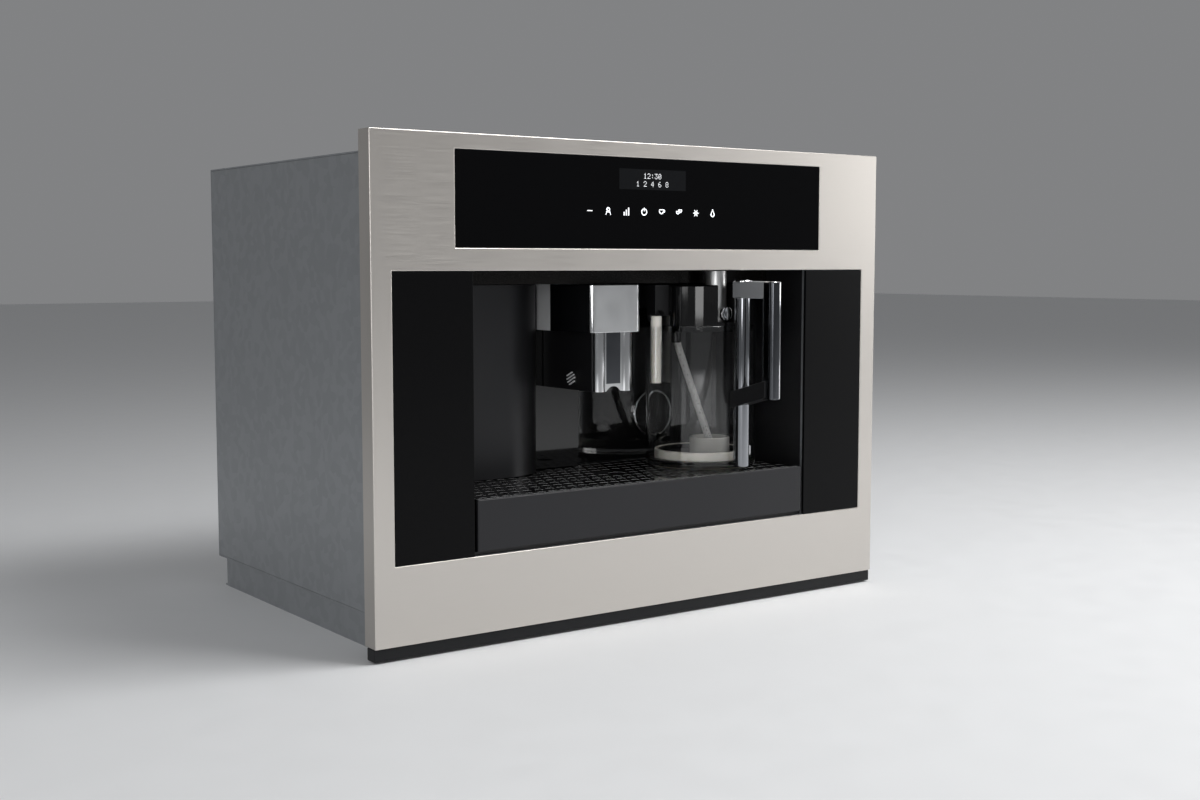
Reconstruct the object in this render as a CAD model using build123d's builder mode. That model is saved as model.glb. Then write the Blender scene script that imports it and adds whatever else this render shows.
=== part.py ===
from build123d import *
from math import acos, degrees, sqrt
import os

os.makedirs("parts", exist_ok=True)

# Built-in coffee machine. x runs to the right, y into the cabinet, z up.
# The origin is the middle of the mounting plate's underside.
# A depth is a distance behind the face of the steel fascia.

# ---------------------------------------------------------------- front
SIDE_BORDER = 20.0          # steel beside the opening
FLANK_WIDTH = 79.5          # black panel beside the recess
RECESS_WIDTH = 396.0
FRONT_BOTTOM = 13.0         # fascia's lower edge above the cabinet floor
LOWER_RAIL = 70.0           # steel below the opening
OPENING_HEIGHT = 253.0
MIDDLE_RAIL = 20.0          # steel between opening and control glass
CONTROL_HEIGHT = 85.0
UPPER_RAIL = 14.0
CONTROL_BORDER = 82.0       # steel beside the control glass
FASCIA_SHEET = 1.5
FASCIA_RETURN = 20.0        # depth of the fascia's folded edge
TOP_BEVEL = 0.8
PANEL_THICKNESS = 3.0       # glass and flank panels
FIT_GAP = 0.3               # between pieces that fit together
SHADOW_GAP = 3.5            # visible gap round the tray

OPENING_WIDTH = RECESS_WIDTH + 2 * FLANK_WIDTH
FRONT_WIDTH = OPENING_WIDTH + 2 * SIDE_BORDER
OPENING_BOTTOM = FRONT_BOTTOM + LOWER_RAIL
OPENING_TOP = OPENING_BOTTOM + OPENING_HEIGHT
CONTROL_BOTTOM = OPENING_TOP + MIDDLE_RAIL
CONTROL_TOP = CONTROL_BOTTOM + CONTROL_HEIGHT
FRONT_TOP = CONTROL_TOP + UPPER_RAIL
CONTROL_WIDTH = FRONT_WIDTH - 2 * CONTROL_BORDER
RECESS_HALF = RECESS_WIDTH / 2

# ---------------------------------------------------------------- body
TANK_FRONT = 158.0
TANK_LENGTH = 226.0
TANK_REAR_GAP = 14.0        # tank's back to the rear panel's back
BODY_INSET = 19.5           # the front is wider than the body by this on each side
TOP_INSET = 15.0            # and higher by this
SHEET = 1.5                 # body sheet
FRAME_SHEET = 2.5
BODY_FRONT = FASCIA_RETURN
REAR_VENT_ROWS = 8
REAR_VENT_PITCH = 12.0
REAR_VENT_LENGTH = 110.0
REAR_VENT_WIDTH = 5.0
REAR_VENT_DROP = 90.0       # middle of the rear vents below the body's top
TOP_VENT_ROWS = 7
TOP_VENT_PITCH = 14.0
TOP_VENT_LENGTH = 150.0
TOP_VENT_WIDTH = 6.0
OVERCUT = 1.0               # a cut starts this far outside the piece

BODY_DEPTH = TANK_FRONT + TANK_LENGTH + TANK_REAR_GAP   # fascia's face to the rear panel's back
BODY_HALF = FRONT_WIDTH / 2 - BODY_INSET
BODY_INNER = BODY_HALF - SHEET
BODY_TOP = FRONT_TOP - TOP_INSET
FRAME_FRONT = PANEL_THICKNESS + FIT_GAP
FRAME_BACK = FRAME_FRONT + FRAME_SHEET
REAR_FRONT = BODY_DEPTH - SHEET

# ---------------------------------------------------------------- mounting plate and rails
PLATE_FRONT = 30.0
PLATE_REAR_GAP = 8.0        # plate's back to the rear panel's back
PLATE_THICKNESS = 2.0
PLATE_SCREW_X = 460.0       # spacing of the cabinet screws
PLATE_SCREW_EDGE = 30.0     # screws to the plate's front and back edges
PLATE_SCREW_RADIUS = 2.75
RAIL_HEIGHT = 28.0
RAIL_WALL = 1.5
RAIL_STEP = 2.3             # each nested rail is lower by this above and below
RAIL_WEB_STEP = 3.5         # and further in by this
RAIL_WIDTH = 12.0
RAIL_END_GAP = 4.0          # plate's edge to the end of a rail
RAIL_FRONT = PLATE_FRONT + RAIL_END_GAP
RAIL_INSET = 4.0            # rails inside the body's width
RAIL_OUTSIDE = BODY_HALF - RAIL_INSET
CHASSIS_FLOOR = 14.0        # underside of the body's floor
SKIRT_BOTTOM = 5.0
SHOULDER_GAP = 2.5          # rails' top to the body's shoulder

PLATE_DEPTH = BODY_DEPTH - PLATE_FRONT - PLATE_REAR_GAP
PLATE_SCREW_Y = PLATE_DEPTH - 2 * PLATE_SCREW_EDGE
RAIL_LENGTH = PLATE_DEPTH - 2 * RAIL_END_GAP
ORIGIN_DEPTH = PLATE_FRONT + PLATE_DEPTH / 2
RAIL_BOTTOM = PLATE_THICKNESS
RAIL_TOP = RAIL_BOTTOM + RAIL_HEIGHT
SKIRT_OUTSIDE = RAIL_OUTSIDE - RAIL_WIDTH - FIT_GAP
SHOULDER = RAIL_TOP + SHOULDER_GAP
FLOOR_TOP = CHASSIS_FLOOR + SHEET

# ---------------------------------------------------------------- recess
LINER_WALL = 3.0
HEADER_HEIGHT = 13.0        # dark strip below the opening's top
HEADER_DEPTH = 60.0
HEADER_SHEET = 2.0
WALL_DEPTH = 148.0          # glossy wall behind the jug
WALL_RETURN = 27.0
WALL_EDGE = 15.0            # bent edge of the fixed wall beside the door
TRAY_STOP_DEPTH = 153.0
TRAY_FLOOR_GAP = 4.0        # opening's bottom to the tray front
TRAY_FRONT_HEIGHT = 46.5
GRILLE_TOP = OPENING_BOTTOM + TRAY_FLOOR_GAP + TRAY_FRONT_HEIGHT
HEADER_BOTTOM = OPENING_TOP - HEADER_HEIGHT
HEADER_OVERLAP = 10.0       # header beyond the back wall
HEADER_BACK = WALL_DEPTH + HEADER_OVERLAP
TRAY_GAP = 0.8              # grille to what stands over it

# ---------------------------------------------------------------- drip tray
TRAY_FRONT_THICKNESS = 4.0
TRAY_EDGE = 1.0
TRAY_LENGTH = 147.0
BIN_INSET = 8.5             # bin is narrower than the tray front on each side
BIN_WALL = 2.0
GRILLE_THICKNESS = 3.5
GRILLE_INSET = 2.5
SLOT_LENGTH = 9.0
SLOT_WIDTH = 6.0
SLOT_PITCH_X = 25.0
SLOT_PITCH_Y = 18.0
SLOT_ROWS = 7
BUTTON_EDGE = 1.5           # rounding of the float and the froth knob
FLOAT_X = 10.0
FLOAT_DEPTH = 70.0
FLOAT_RADIUS = 8.5
FLOAT_TRAVEL = 4.0
FLOAT_COLLAR = 3.0          # solid metal round the float

TRAY_HALF = RECESS_HALF - SHADOW_GAP
BIN_HALF = TRAY_HALF - BIN_INSET
TRAY_BACK = TRAY_FRONT_THICKNESS + TRAY_LENGTH
FLOOR_LEVEL = OPENING_BOTTOM + LINER_WALL
BIN_BOTTOM = FLOOR_LEVEL + FIT_GAP
BIN_TOP = GRILLE_TOP - GRILLE_THICKNESS

# ---------------------------------------------------------------- service door
CHEEK_DEPTH = 100.0         # flat satin part at the hinge
CHEEK_END = -100.0          # x where the rounded part starts
DOOR_ARC = 60.0
DOOR_WALL_DEPTH = 135.0     # glossy part
DOOR_EDGE_GAP = 1.0         # free edge to the fixed wall
DOOR_SPLIT = 9.0            # x where the fixed wall starts
DOOR_SHEET = 3.0
DOOR_LEFT_GAP = 2.5
DOOR_TOP_GAP = 1.0
HINGE_X_INSET = 5.0         # hinge axis from the recess side
HINGE_SETBACK = 4.0         # and behind the cheek
PIN_RADIUS = 2.0
PIN_CLEARANCE = 0.06
KNUCKLE_RADIUS = 3.6
KNUCKLE_HEIGHT = 14.0
LUG_THICKNESS = 3.5
LUG_RADIUS = 5.0
LUG_SWING_GAP = 1.0         # door to lug as the door swings
DOOR_BOX_DEPTH = 156.0      # back of the door's inner panel
DOOR_PANEL_WALL = 2.0
DOOR_PANEL_INSET = 4.0

DOOR_LEFT = -RECESS_HALF + DOOR_LEFT_GAP
DOOR_RIGHT = DOOR_SPLIT - DOOR_EDGE_GAP
DOOR_BOTTOM = GRILLE_TOP + TRAY_GAP
DOOR_TOP = HEADER_BOTTOM - DOOR_TOP_GAP
HINGE_X = -RECESS_HALF + HINGE_X_INSET
HINGE_DEPTH = CHEEK_DEPTH + HINGE_SETBACK
ARC_CENTRE_DEPTH = CHEEK_DEPTH + DOOR_ARC
LUG_TOP = DOOR_BOTTOM + LUG_THICKNESS

# ---------------------------------------------------------------- coffee spout
HOUSING_LEFT = -43.5
HOUSING_RIGHT = 17.5
HOUSING_FRONT = 40.0
HOUSING_HEIGHT = 46.0
HOUSING_WALL = 1.7
HOUSING_CORNER = 6.5
SPOUT_LEFT = -36.0
SPOUT_RIGHT = 10.0
SPOUT_DROP = 57.5           # nozzles hang this far below the housing
SPOUT_TRAVEL = 38.0
SPOUT_ENGAGED = 5.0         # carriage inside the housing at its lowest
COLUMN_RADIUS = 7.0
COLUMN_WEB = 3.5
ARCH_RADIUS = 9.0
ARCH_RISE = 5.0
NOZZLE_BORE = 2.5
NOZZLE_DEPTH = 25.0
GRIP_RADIUS = 6.0
GRIP_THICKNESS = 3.0
GRIP_DEPTH = 82.0
GRIP_RISE = 11.5
GUIDE_WIDTH = 12.0
GUIDE_HEIGHT = 30.0
GUIDE_RISE = 21.0           # nozzle's end to the guide block
KEEPER_OVERHANG = 9.0
KEEPER_THICKNESS = 3.0

HOUSING_BOTTOM = DOOR_TOP - HOUSING_HEIGHT
SPOUT_BOTTOM = HOUSING_BOTTOM - SPOUT_DROP
SPOUT_TOP = HOUSING_BOTTOM + SPOUT_ENGAGED
COLUMN_DEPTH = HOUSING_FRONT + HOUSING_WALL + FIT_GAP + COLUMN_RADIUS
SPOUT_BACK = DOOR_WALL_DEPTH - FIT_GAP
GUIDE_X = (SPOUT_LEFT + SPOUT_RIGHT) / 2
GUIDE_BOTTOM = SPOUT_BOTTOM + GUIDE_RISE

# ---------------------------------------------------------------- milk jug
JUG_X = 122.0
JUG_DEPTH = 76.0
JUG_RADIUS = 57.0
JUG_WALL = 2.2
JUG_FLOOR = 6.5
JUG_EDGE = 2.0              # rounding of glass and lid
JUG_CLEARANCE = 1.0         # jug's foot above the grille
LID_HEIGHT = 41.0
LID_TOP_GAP = 2.0
LID_PLUG = 6.0
BASE_RADIUS = 48.0
BASE_HEIGHT = 10.0
BASE_WALL = 4.0
STRAINER_X = 134.5          # cup round the tube's lower end
STRAINER_RADIUS = 21.0
STRAINER_WALL = 2.0
STRAINER_HEIGHT = 21.0
INTAKE_RADIUS = 4.0
INTAKE_COLLAR = 1.0
INTAKE_LEAN = 49.0          # sideways run of the intake tube
INTAKE_X = 89.0
INTAKE_RISE = 10.5          # tube's end above the jug's inner floor
COLUMN_X = JUG_X            # handle's upright
HANDLE_COLUMN_DEPTH = 11.0
HANDLE_COLUMN_RADIUS = 8.0
HANDLE_FOOT = 3.5
COLUMN_WEB_WIDTH = 8.0      # web between the upright and the glass
COLUMN_WEB_HEIGHT = 77.0
COLUMN_CAP_RADIUS = 9.5
COLUMN_CAP_HEIGHT = 1.5
GRIP_BAR_DEPTH = -33.0
GRIP_BAR_WIDTH = 14.0
GRIP_BAR_REACH = 17.5       # bar's size from front to back
GRIP_BAR_CORNER = 5.5
GRIP_BAR_LENGTH = 116.0
BRIDGE_HEIGHT = 17.0
BRIDGE_ABOVE_LID = 4.0
ARM_HALF_WIDTH = 9.0
ARM_HEIGHT = 17.0
ARM_RISE = 14.0
ARM_LIFT = 2.0              # arm above the bar's lower end

JUG_BOTTOM = GRILLE_TOP + JUG_CLEARANCE
LID_TOP = HEADER_BOTTOM - LID_TOP_GAP
JUG_TOP = LID_TOP - LID_HEIGHT
BRIDGE_TOP = LID_TOP + BRIDGE_ABOVE_LID
BRIDGE_BOTTOM = BRIDGE_TOP - BRIDGE_HEIGHT
GRIP_BAR_BOTTOM = BRIDGE_TOP - GRIP_BAR_LENGTH
JUG_INNER = JUG_RADIUS - JUG_WALL

# ---------------------------------------------------------------- frother
FROTHER_X = 113.0
FROTHER_DEPTH = 42.0
FROTHER_RADIUS = 11.0
FROTHER_ABOVE_LID = 14.0
POCKET_HALF = 12.5
POCKET_RISE = 3.5           # pocket floor above the lid's underside
DUCT_HALF = 12.0
DUCT_RISE = 16.0            # duct above the lid's underside
DOCK_LEFT = 75.0
DOCK_RIGHT = 120.0
DOCK_FRONT = 90.0
DOCK_CLEARANCE = 10.0       # room in the lid left of the dock
NOZZLE_X = 100.0
NOZZLE_RADIUS = 5.0
NOZZLE_RISE = 25.0          # nozzle above the lid's underside
NOZZLE_REACH = 15.0         # nozzle in front of the wall
NOZZLE_FLANGE = 9.0
NOZZLE_TAIL = 22.0
KNOB_RADIUS = 7.5
KNOB_LENGTH = 7.0
KNOB_RISE = 12.0
MILK_X = 57.0
MILK_DEPTH = 68.0
MILK_RADIUS = 6.0
MILK_LENGTH = 67.0
MILK_PIVOT_RISE = 9.0
MILK_PIVOT_RADIUS = 6.5
MILK_ARM_HALF = 7.0
MILK_PIVOT_COVER = 1.0      # the arm starts above the pivot's axis

DUCT_BOTTOM = JUG_TOP + DUCT_RISE
POCKET_BOTTOM = JUG_TOP + POCKET_RISE
NOZZLE_Z = JUG_TOP + NOZZLE_RISE
MILK_PIVOT_Z = JUG_TOP + MILK_PIVOT_RISE
MILK_ARM_BOTTOM = MILK_PIVOT_Z + MILK_PIVOT_COVER
MILK_ARM_LEFT = MILK_X - MILK_PIVOT_RADIUS

# ---------------------------------------------------------------- release button
BUTTON_X = 112.0
BUTTON_RISE = 49.0          # above the grille
BUTTON_RADIUS = 25.0
BUTTON_PROUD = 3.0
BUTTON_RIM = 2.0
BUTTON_FLANGE = 1.5

# ---------------------------------------------------------------- inside
DECK_DEPTH = 158.0
DECK_DROP = 0.5             # deck below the grille's top
DECK_TOP = GRILLE_TOP - DECK_DROP
TANK_LEFT = 206.0
TANK_SIDE_GAP = 4.5         # tank's outer face to the side panel's outside
TANK_HEIGHT = 190.0
TANK_WALL = 2.5
TANK_CORNER = 8.0
TANK_LID = 4.0
TANK_LID_PLUG = 4.0         # rim inside the tank
TANK_LID_PLUG_GAP = 2.0
TANK_DOOR_GAP = 2.0
SPIGOT_RADIUS = 6.0
SPIGOT_LENGTH = 10.0
SPIGOT_DEPTH = 300.0
SPIGOT_RISE = 17.0
SOCKET_LENGTH = 12.0
SOCKET_WALL = 3.0
HOPPER_LEFT = -160.0
HOPPER_RIGHT = -10.0
HOPPER_FRONT = 206.0
HOPPER_REAR_GAP = 26.0      # hopper's back to the rear panel's back
HOPPER_HEIGHT = 85.0
HOPPER_WALL = 2.5
HOPPER_THROAT = 18.0
CHUTE_LEFT = -75.0
CHUTE_RIGHT = -15.0
CHUTE_FRONT = 164.0
GRINDER_X = -85.0
GRINDER_SETBACK = 46.0      # grinder's axis to the hopper's back
GRINDER_RADIUS = 38.0
GRINDER_HEAD = 60.0
GRINDER_WALL = 4.0
MOTOR_RADIUS = 30.0
BURR_RADIUS = 25.0
BURR_HEIGHT = 10.0
BURR_BORE = 9.0
BREW_LEFT = -100.0
BREW_WIDTH = 100.0
BREW_DOOR_GAP = 10.0        # door's box to the brew unit
BREW_FRONT = DOOR_BOX_DEPTH + BREW_DOOR_GAP
BREW_GAP = 12.0             # brew unit to the grinder
BREW_HEIGHT = 120.0
BREW_CORNER = 8.0
CHAMBER_RADIUS = 28.0
CHAMBER_HEIGHT = 24.0
CHAMBER_WALL = 4.0
DRIVE_WIDTH = 38.0
DRIVE_LENGTH = 80.0
DRIVE_HEIGHT = 72.0
DRIVE_CAP_INSET = 3.0
DRIVE_CAP_HEIGHT = 12.0
GROUNDS_LEFT = -186.0
GROUNDS_WIDTH = 72.0
GROUNDS_FRONT = 162.0
GROUNDS_GAP = 2.0
GROUNDS_CORNER = 6.0
GROUNDS_HEIGHT = 116.0
BOILER_LEFT = 60.0
BOILER_WIDTH = 80.0
BOILER_HEIGHT = 110.0
STEAM_BOILER_FRONT = 182.0
STEAM_BOILER_LENGTH = 80.0
BOILER_SPACING = 20.0
BOILER_REAR_GAP = 20.0
BOILER_FOOT = 6.0
FIN_COUNT = 7
FIN_WALL = 2.0
FIN_DEPTH = 5.0
PUMP_HALF = 58.0
PUMP_RADIUS = 23.0
PUMP_Z = 60.0
PUMP_FOOT_INSET = 8.0
HOSE_RADIUS = 4.0
THIN_HOSE_RADIUS = 3.0
HOSE_BEND = 12.0
HOSE_HOLE_GAP = 1.0
SUCTION_X = 165.0
PRESSURE_X = 10.0
STEAM_PORT = 20.0           # hose end to the steam boiler's front
COFFEE_PORT = 12.0          # hose end to the coffee boiler's front
COFFEE_PORT_DROP = 20.0     # and below its top
BREW_PORT = 24.0            # hose end to the brew unit's back
BOARD_LEFT = -245.0
BOARD_WIDTH = 140.0
BOARD_FRONT = 180.0
BOARD_REAR_GAP = 28.0
BOARD_RISE = 8.0
BOARD_SHEET = 1.6
CHOKE_LEFT = 20.0           # from the board's left edge
CHOKE_FRONT = 24.0          # from its front edge
CHOKE_WIDTH = 42.0
CHOKE_LENGTH = 44.0
CHOKE_HEIGHT = 34.0
CAPACITOR_COUNT = 3
CAPACITOR_LEFT = 36.0
CAPACITOR_FRONT = 90.0
CAPACITOR_PITCH = 28.0
CAPACITOR_RADIUS = 10.0
CAPACITOR_HEIGHT = 26.0
SINK_LEFT = 84.0
SINK_INSET = 30.0
SINK_WALL = 6.0
SINK_HEIGHT = 30.0
INLET_X = -200.0
INLET_Z = 70.0
INLET_HALF_WIDTH = 30.0
INLET_HALF_HEIGHT = 14.0
INLET_LENGTH = 24.0
SWITCH_X = -183.0
ROCKER_HALF_WIDTH = 6.0
ROCKER_HALF_HEIGHT = 9.5
ROCKER_THICKNESS = 7.0
ROCKER_SETBACK = 2.0        # rocker's axis below the rear panel's face
ROCKER_PIN_RADIUS = 1.5
ROCKER_PIN_LENGTH = 2.0
ROCKER_SWING_GAP = 1.5
INLET_FLANGE = 3.0
PLUG_WALL = 4.0
PLUG_WIDTH = 28.0
PLUG_HALF_HEIGHT = 10.0
BLADE_PITCH = 8.0
BLADE_HALF_WIDTH = 1.0
BLADE_HALF_HEIGHT = 2.0
SCREW_RADIUS = 1.9
SCREW_HEAD_RADIUS = 3.6
SCREW_HEAD = 1.6
SCREW_LENGTH = 7.0
SCREW_EDGE = 12.0
LID_SHEET = 3.0
LID_LAP = 4.0
BARREL_RADIUS = 2.6
LID_PIN_RADIUS = 1.4
LID_PIN_LENGTH = 5.0
LUG_WIDTH = 6.0
GRIND_KNOB_X = 30.0
GRIND_KNOB_RADIUS = 14.0
GRIND_KNOB_HEIGHT = 7.5
GRIND_STEM_RADIUS = 4.0
GRIND_STEM_LENGTH = 10.0
FLUTE_RADIUS = 1.5
FLUTE_COUNT = 16

HOPPER_BACK = BODY_DEPTH - HOPPER_REAR_GAP
GRINDER_DEPTH = HOPPER_BACK - GRINDER_SETBACK
GRIND_KNOB_DEPTH = GRINDER_DEPTH
GRINDER_FRONT = GRINDER_DEPTH - GRINDER_RADIUS
BREW_LENGTH = GRINDER_FRONT - BREW_GAP - BREW_FRONT
GROUNDS_LENGTH = GRINDER_FRONT - GROUNDS_GAP - GROUNDS_FRONT
COFFEE_BOILER_FRONT = STEAM_BOILER_FRONT + STEAM_BOILER_LENGTH + BOILER_SPACING
COFFEE_BOILER_LENGTH = BODY_DEPTH - BOILER_REAR_GAP - COFFEE_BOILER_FRONT
BOARD_LENGTH = BODY_DEPTH - BOARD_REAR_GAP - BOARD_FRONT
PUMP_DEPTH = SPIGOT_DEPTH
HOPPER_BOTTOM = BODY_TOP - HOPPER_HEIGHT
HOPPER_RIM = BODY_TOP
TANK_RIGHT = BODY_HALF - TANK_SIDE_GAP
HOPPER_LID_X = (HOPPER_LEFT - LID_LAP, HOPPER_RIGHT + LID_LAP)
HOPPER_HINGE = HOPPER_BACK + LID_LAP
POWDER_LID_X = (CHUTE_LEFT, CHUTE_RIGHT)
POWDER_HINGE = HOPPER_FRONT - LID_LAP
TANK_BOTTOM = DECK_TOP + FIT_GAP
TANK_TOP = TANK_BOTTOM + TANK_HEIGHT
TANK_BACK = TANK_FRONT + TANK_LENGTH
SPIGOT_Z = TANK_BOTTOM + SPIGOT_RISE

# ---------------------------------------------------------------- controls
DISPLAY_HALF = 39.5
DISPLAY_BOTTOM_RISE = 53.0  # display above the control glass's lower edge
DISPLAY_HEIGHT = 19.0
ICON_HALF = 80.0
ICON_RISE = 30.0
ICON_HEIGHT = 13.0
MODULE_DEPTH = 9.0
WINDOW_HALF = 84.0
WINDOW_MARGIN = 4.0
BOARD_MARGIN = 9.0
POST_RADIUS = 3.0


def y_at(depth):
    """The y value of a depth behind the fascia's face."""
    return depth - ORIGIN_DEPTH


def front_plane(depth):
    """An upright plane at a depth, with its normal to the front."""
    return Plane(origin=(0, y_at(depth), 0), x_dir=(1, 0, 0), z_dir=(0, -1, 0))


def span_box(x_span, depth_span, z_span, mode=Mode.ADD):
    """A box between two x values, two depths and two heights."""
    middle = (sum(x_span) / 2, y_at(sum(depth_span) / 2), sum(z_span) / 2)
    with Locations(middle):
        Box(
            x_span[1] - x_span[0],
            depth_span[1] - depth_span[0],
            z_span[1] - z_span[0],
            mode=mode,
        )


def upright(x, depth, radius, z_span, mode=Mode.ADD):
    """A vertical cylinder."""
    with Locations((x, y_at(depth), sum(z_span) / 2)):
        Cylinder(radius, z_span[1] - z_span[0], mode=mode)


def across(radius, x_span, depth, z, mode=Mode.ADD):
    """A cylinder along x."""
    with Locations((sum(x_span) / 2, y_at(depth), z)):
        Cylinder(radius, x_span[1] - x_span[0], rotation=(0, 90, 0), mode=mode)


def inward(radius, x, depth_span, z, mode=Mode.ADD):
    """A cylinder along y."""
    with Locations((x, y_at(sum(depth_span) / 2), z)):
        Cylinder(radius, depth_span[1] - depth_span[0], rotation=(90, 0, 0), mode=mode)


def on_side(side, inner, outer):
    """A span of x at the left (-1) or the right (1)."""
    return (inner, outer) if side > 0 else (-outer, -inner)


def rail_channel(side, step, toe_x):
    """One C-shaped rail member, nested inside the larger ones by its step."""
    web = RAIL_OUTSIDE - step * RAIL_WEB_STEP
    depth_span = (RAIL_FRONT, RAIL_FRONT + RAIL_LENGTH)
    low = RAIL_BOTTOM + step * RAIL_STEP
    high = RAIL_TOP - step * RAIL_STEP
    span_box(on_side(side, web - RAIL_WALL, web), depth_span, (low, high))
    span_box(on_side(side, toe_x, web), depth_span, (low, low + RAIL_WALL))
    span_box(on_side(side, toe_x, web), depth_span, (high - RAIL_WALL, high))


def lid_hinge_z():
    """Height of the lids' hinge axis."""
    return BODY_TOP + FIT_GAP + BARREL_RADIUS


def hinge_lugs(x_span, depth):
    """Two upright lugs that hold a lid's pins, one at each end of its barrel."""
    z = lid_hinge_z()
    for inner, outward in ((x_span[0], -1), (x_span[1], 1)):
        start = inner + outward * FIT_GAP
        end = start + outward * LUG_WIDTH
        span = (min(start, end), max(start, end))
        span_box(span, (depth - BARREL_RADIUS, depth + BARREL_RADIUS), (BODY_TOP, z))
        across(BARREL_RADIUS, span, depth, z)
        hole_x = (span[0] - OVERCUT, span[1] + OVERCUT)
        across(LID_PIN_RADIUS + PIN_CLEARANCE, hole_x, depth, z, Mode.SUBTRACT)


def hinged_lid(x_span, front, hinge_depth):
    """A flat lid with a barrel and end pins along its rear edge."""
    z = lid_hinge_z()
    low = BODY_TOP + FIT_GAP
    span_box(x_span, (front, hinge_depth), (low, low + LID_SHEET))
    across(BARREL_RADIUS, x_span, hinge_depth, z)
    across(LID_PIN_RADIUS, (x_span[0] - LID_PIN_LENGTH, x_span[1] + LID_PIN_LENGTH), hinge_depth, z)


# ================================================================ mounting plate and rails
with BuildPart() as mounting_plate:
    plate_half = RAIL_OUTSIDE
    span_box((-plate_half, plate_half), (PLATE_FRONT, PLATE_FRONT + PLATE_DEPTH), (0, PLATE_THICKNESS))
    with GridLocations(PLATE_SCREW_X, PLATE_SCREW_Y, 2, 2):
        Cylinder(PLATE_SCREW_RADIUS, 4 * PLATE_THICKNESS, mode=Mode.SUBTRACT)

RAIL_TOE = RAIL_OUTSIDE - RAIL_WIDTH
with BuildPart() as outer_rails:
    for side in (-1, 1):
        rail_channel(side, 0, RAIL_TOE)

with BuildPart() as middle_rails:
    for side in (-1, 1):
        rail_channel(side, 1, RAIL_TOE + FIT_GAP)

with BuildPart() as inner_rails:
    inner_low = RAIL_BOTTOM + 2 * RAIL_STEP
    inner_high = RAIL_TOP - 2 * RAIL_STEP
    for side in (-1, 1):
        web_span = on_side(side, SKIRT_OUTSIDE, SKIRT_OUTSIDE + RAIL_WALL)
        lip_span = on_side(side, SKIRT_OUTSIDE, RAIL_OUTSIDE - RAIL_WEB_STEP - RAIL_WALL - FIT_GAP)
        rail_span = (RAIL_FRONT, RAIL_FRONT + RAIL_LENGTH)
        span_box(web_span, rail_span, (inner_low, inner_high))
        span_box(lip_span, rail_span, (inner_low, inner_low + RAIL_WALL))
        span_box(lip_span, rail_span, (inner_high - RAIL_WALL, inner_high))

# ================================================================ body sheets
body_span = (BODY_FRONT, REAR_FRONT - FIT_GAP)

with BuildPart() as chassis_base:
    span_box((-SKIRT_OUTSIDE, SKIRT_OUTSIDE), body_span, (CHASSIS_FLOOR, FLOOR_TOP))
    for side in (-1, 1):
        span_box(on_side(side, SKIRT_OUTSIDE - SHEET, SKIRT_OUTSIDE), body_span, (SKIRT_BOTTOM, SHOULDER))
        span_box(
            on_side(side, SKIRT_OUTSIDE - SHEET, BODY_HALF),
            body_span,
            (SHOULDER - SHEET, SHOULDER),
        )

tank_door_span = (TANK_FRONT - TANK_DOOR_GAP, TANK_BACK + TANK_DOOR_GAP)
panel_z = (SHOULDER + FIT_GAP, BODY_TOP - SHEET - FIT_GAP)
with BuildPart() as left_side_panel:
    span_box((-BODY_HALF, -BODY_INNER), body_span, panel_z)

with BuildPart() as right_side_panel:
    span_box((BODY_INNER, BODY_HALF), body_span, panel_z)
    span_box(
        (BODY_INNER - SHEET, BODY_HALF + SHEET),
        tank_door_span,
        (TANK_BOTTOM - TANK_DOOR_GAP, TANK_TOP + TANK_LID + TANK_DOOR_GAP),
        mode=Mode.SUBTRACT,
    )

screw_x = BODY_HALF - SCREW_EDGE
rear_screw_spots = [
    (x, z)
    for x in (-screw_x, 0, screw_x)
    for z in (SHOULDER + SCREW_EDGE, BODY_TOP - SCREW_EDGE)
]
top_screw_spots = [
    (x, depth)
    for x in (-screw_x, screw_x)
    for depth in (BODY_FRONT + SCREW_EDGE, REAR_FRONT - SCREW_EDGE)
]

with BuildPart() as rear_panel:
    rear_span = (REAR_FRONT, BODY_DEPTH)
    span_box((-BODY_HALF, BODY_HALF), rear_span, (SHOULDER - SHEET, BODY_TOP))
    span_box((-SKIRT_OUTSIDE, SKIRT_OUTSIDE), rear_span, (CHASSIS_FLOOR, SHOULDER))
    span_box(
        (INLET_X - INLET_HALF_WIDTH, INLET_X + INLET_HALF_WIDTH),
        (REAR_FRONT - SHEET, BODY_DEPTH + SHEET),
        (INLET_Z - INLET_HALF_HEIGHT, INLET_Z + INLET_HALF_HEIGHT),
        mode=Mode.SUBTRACT,
    )
    vent_plane = front_plane(REAR_FRONT - SHEET)
    with BuildSketch(vent_plane):
        for vent_x in (-BODY_HALF / 2, BODY_HALF / 2):
            with Locations((vent_x, BODY_TOP - REAR_VENT_DROP)):
                with GridLocations(0, REAR_VENT_PITCH, 1, REAR_VENT_ROWS):
                    SlotOverall(REAR_VENT_LENGTH, REAR_VENT_WIDTH)
    extrude(amount=-3 * SHEET, mode=Mode.SUBTRACT)
    for x, z in rear_screw_spots:
        inward(SCREW_RADIUS + PIN_CLEARANCE, x, (REAR_FRONT - SHEET, BODY_DEPTH + SHEET), z, Mode.SUBTRACT)

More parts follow.
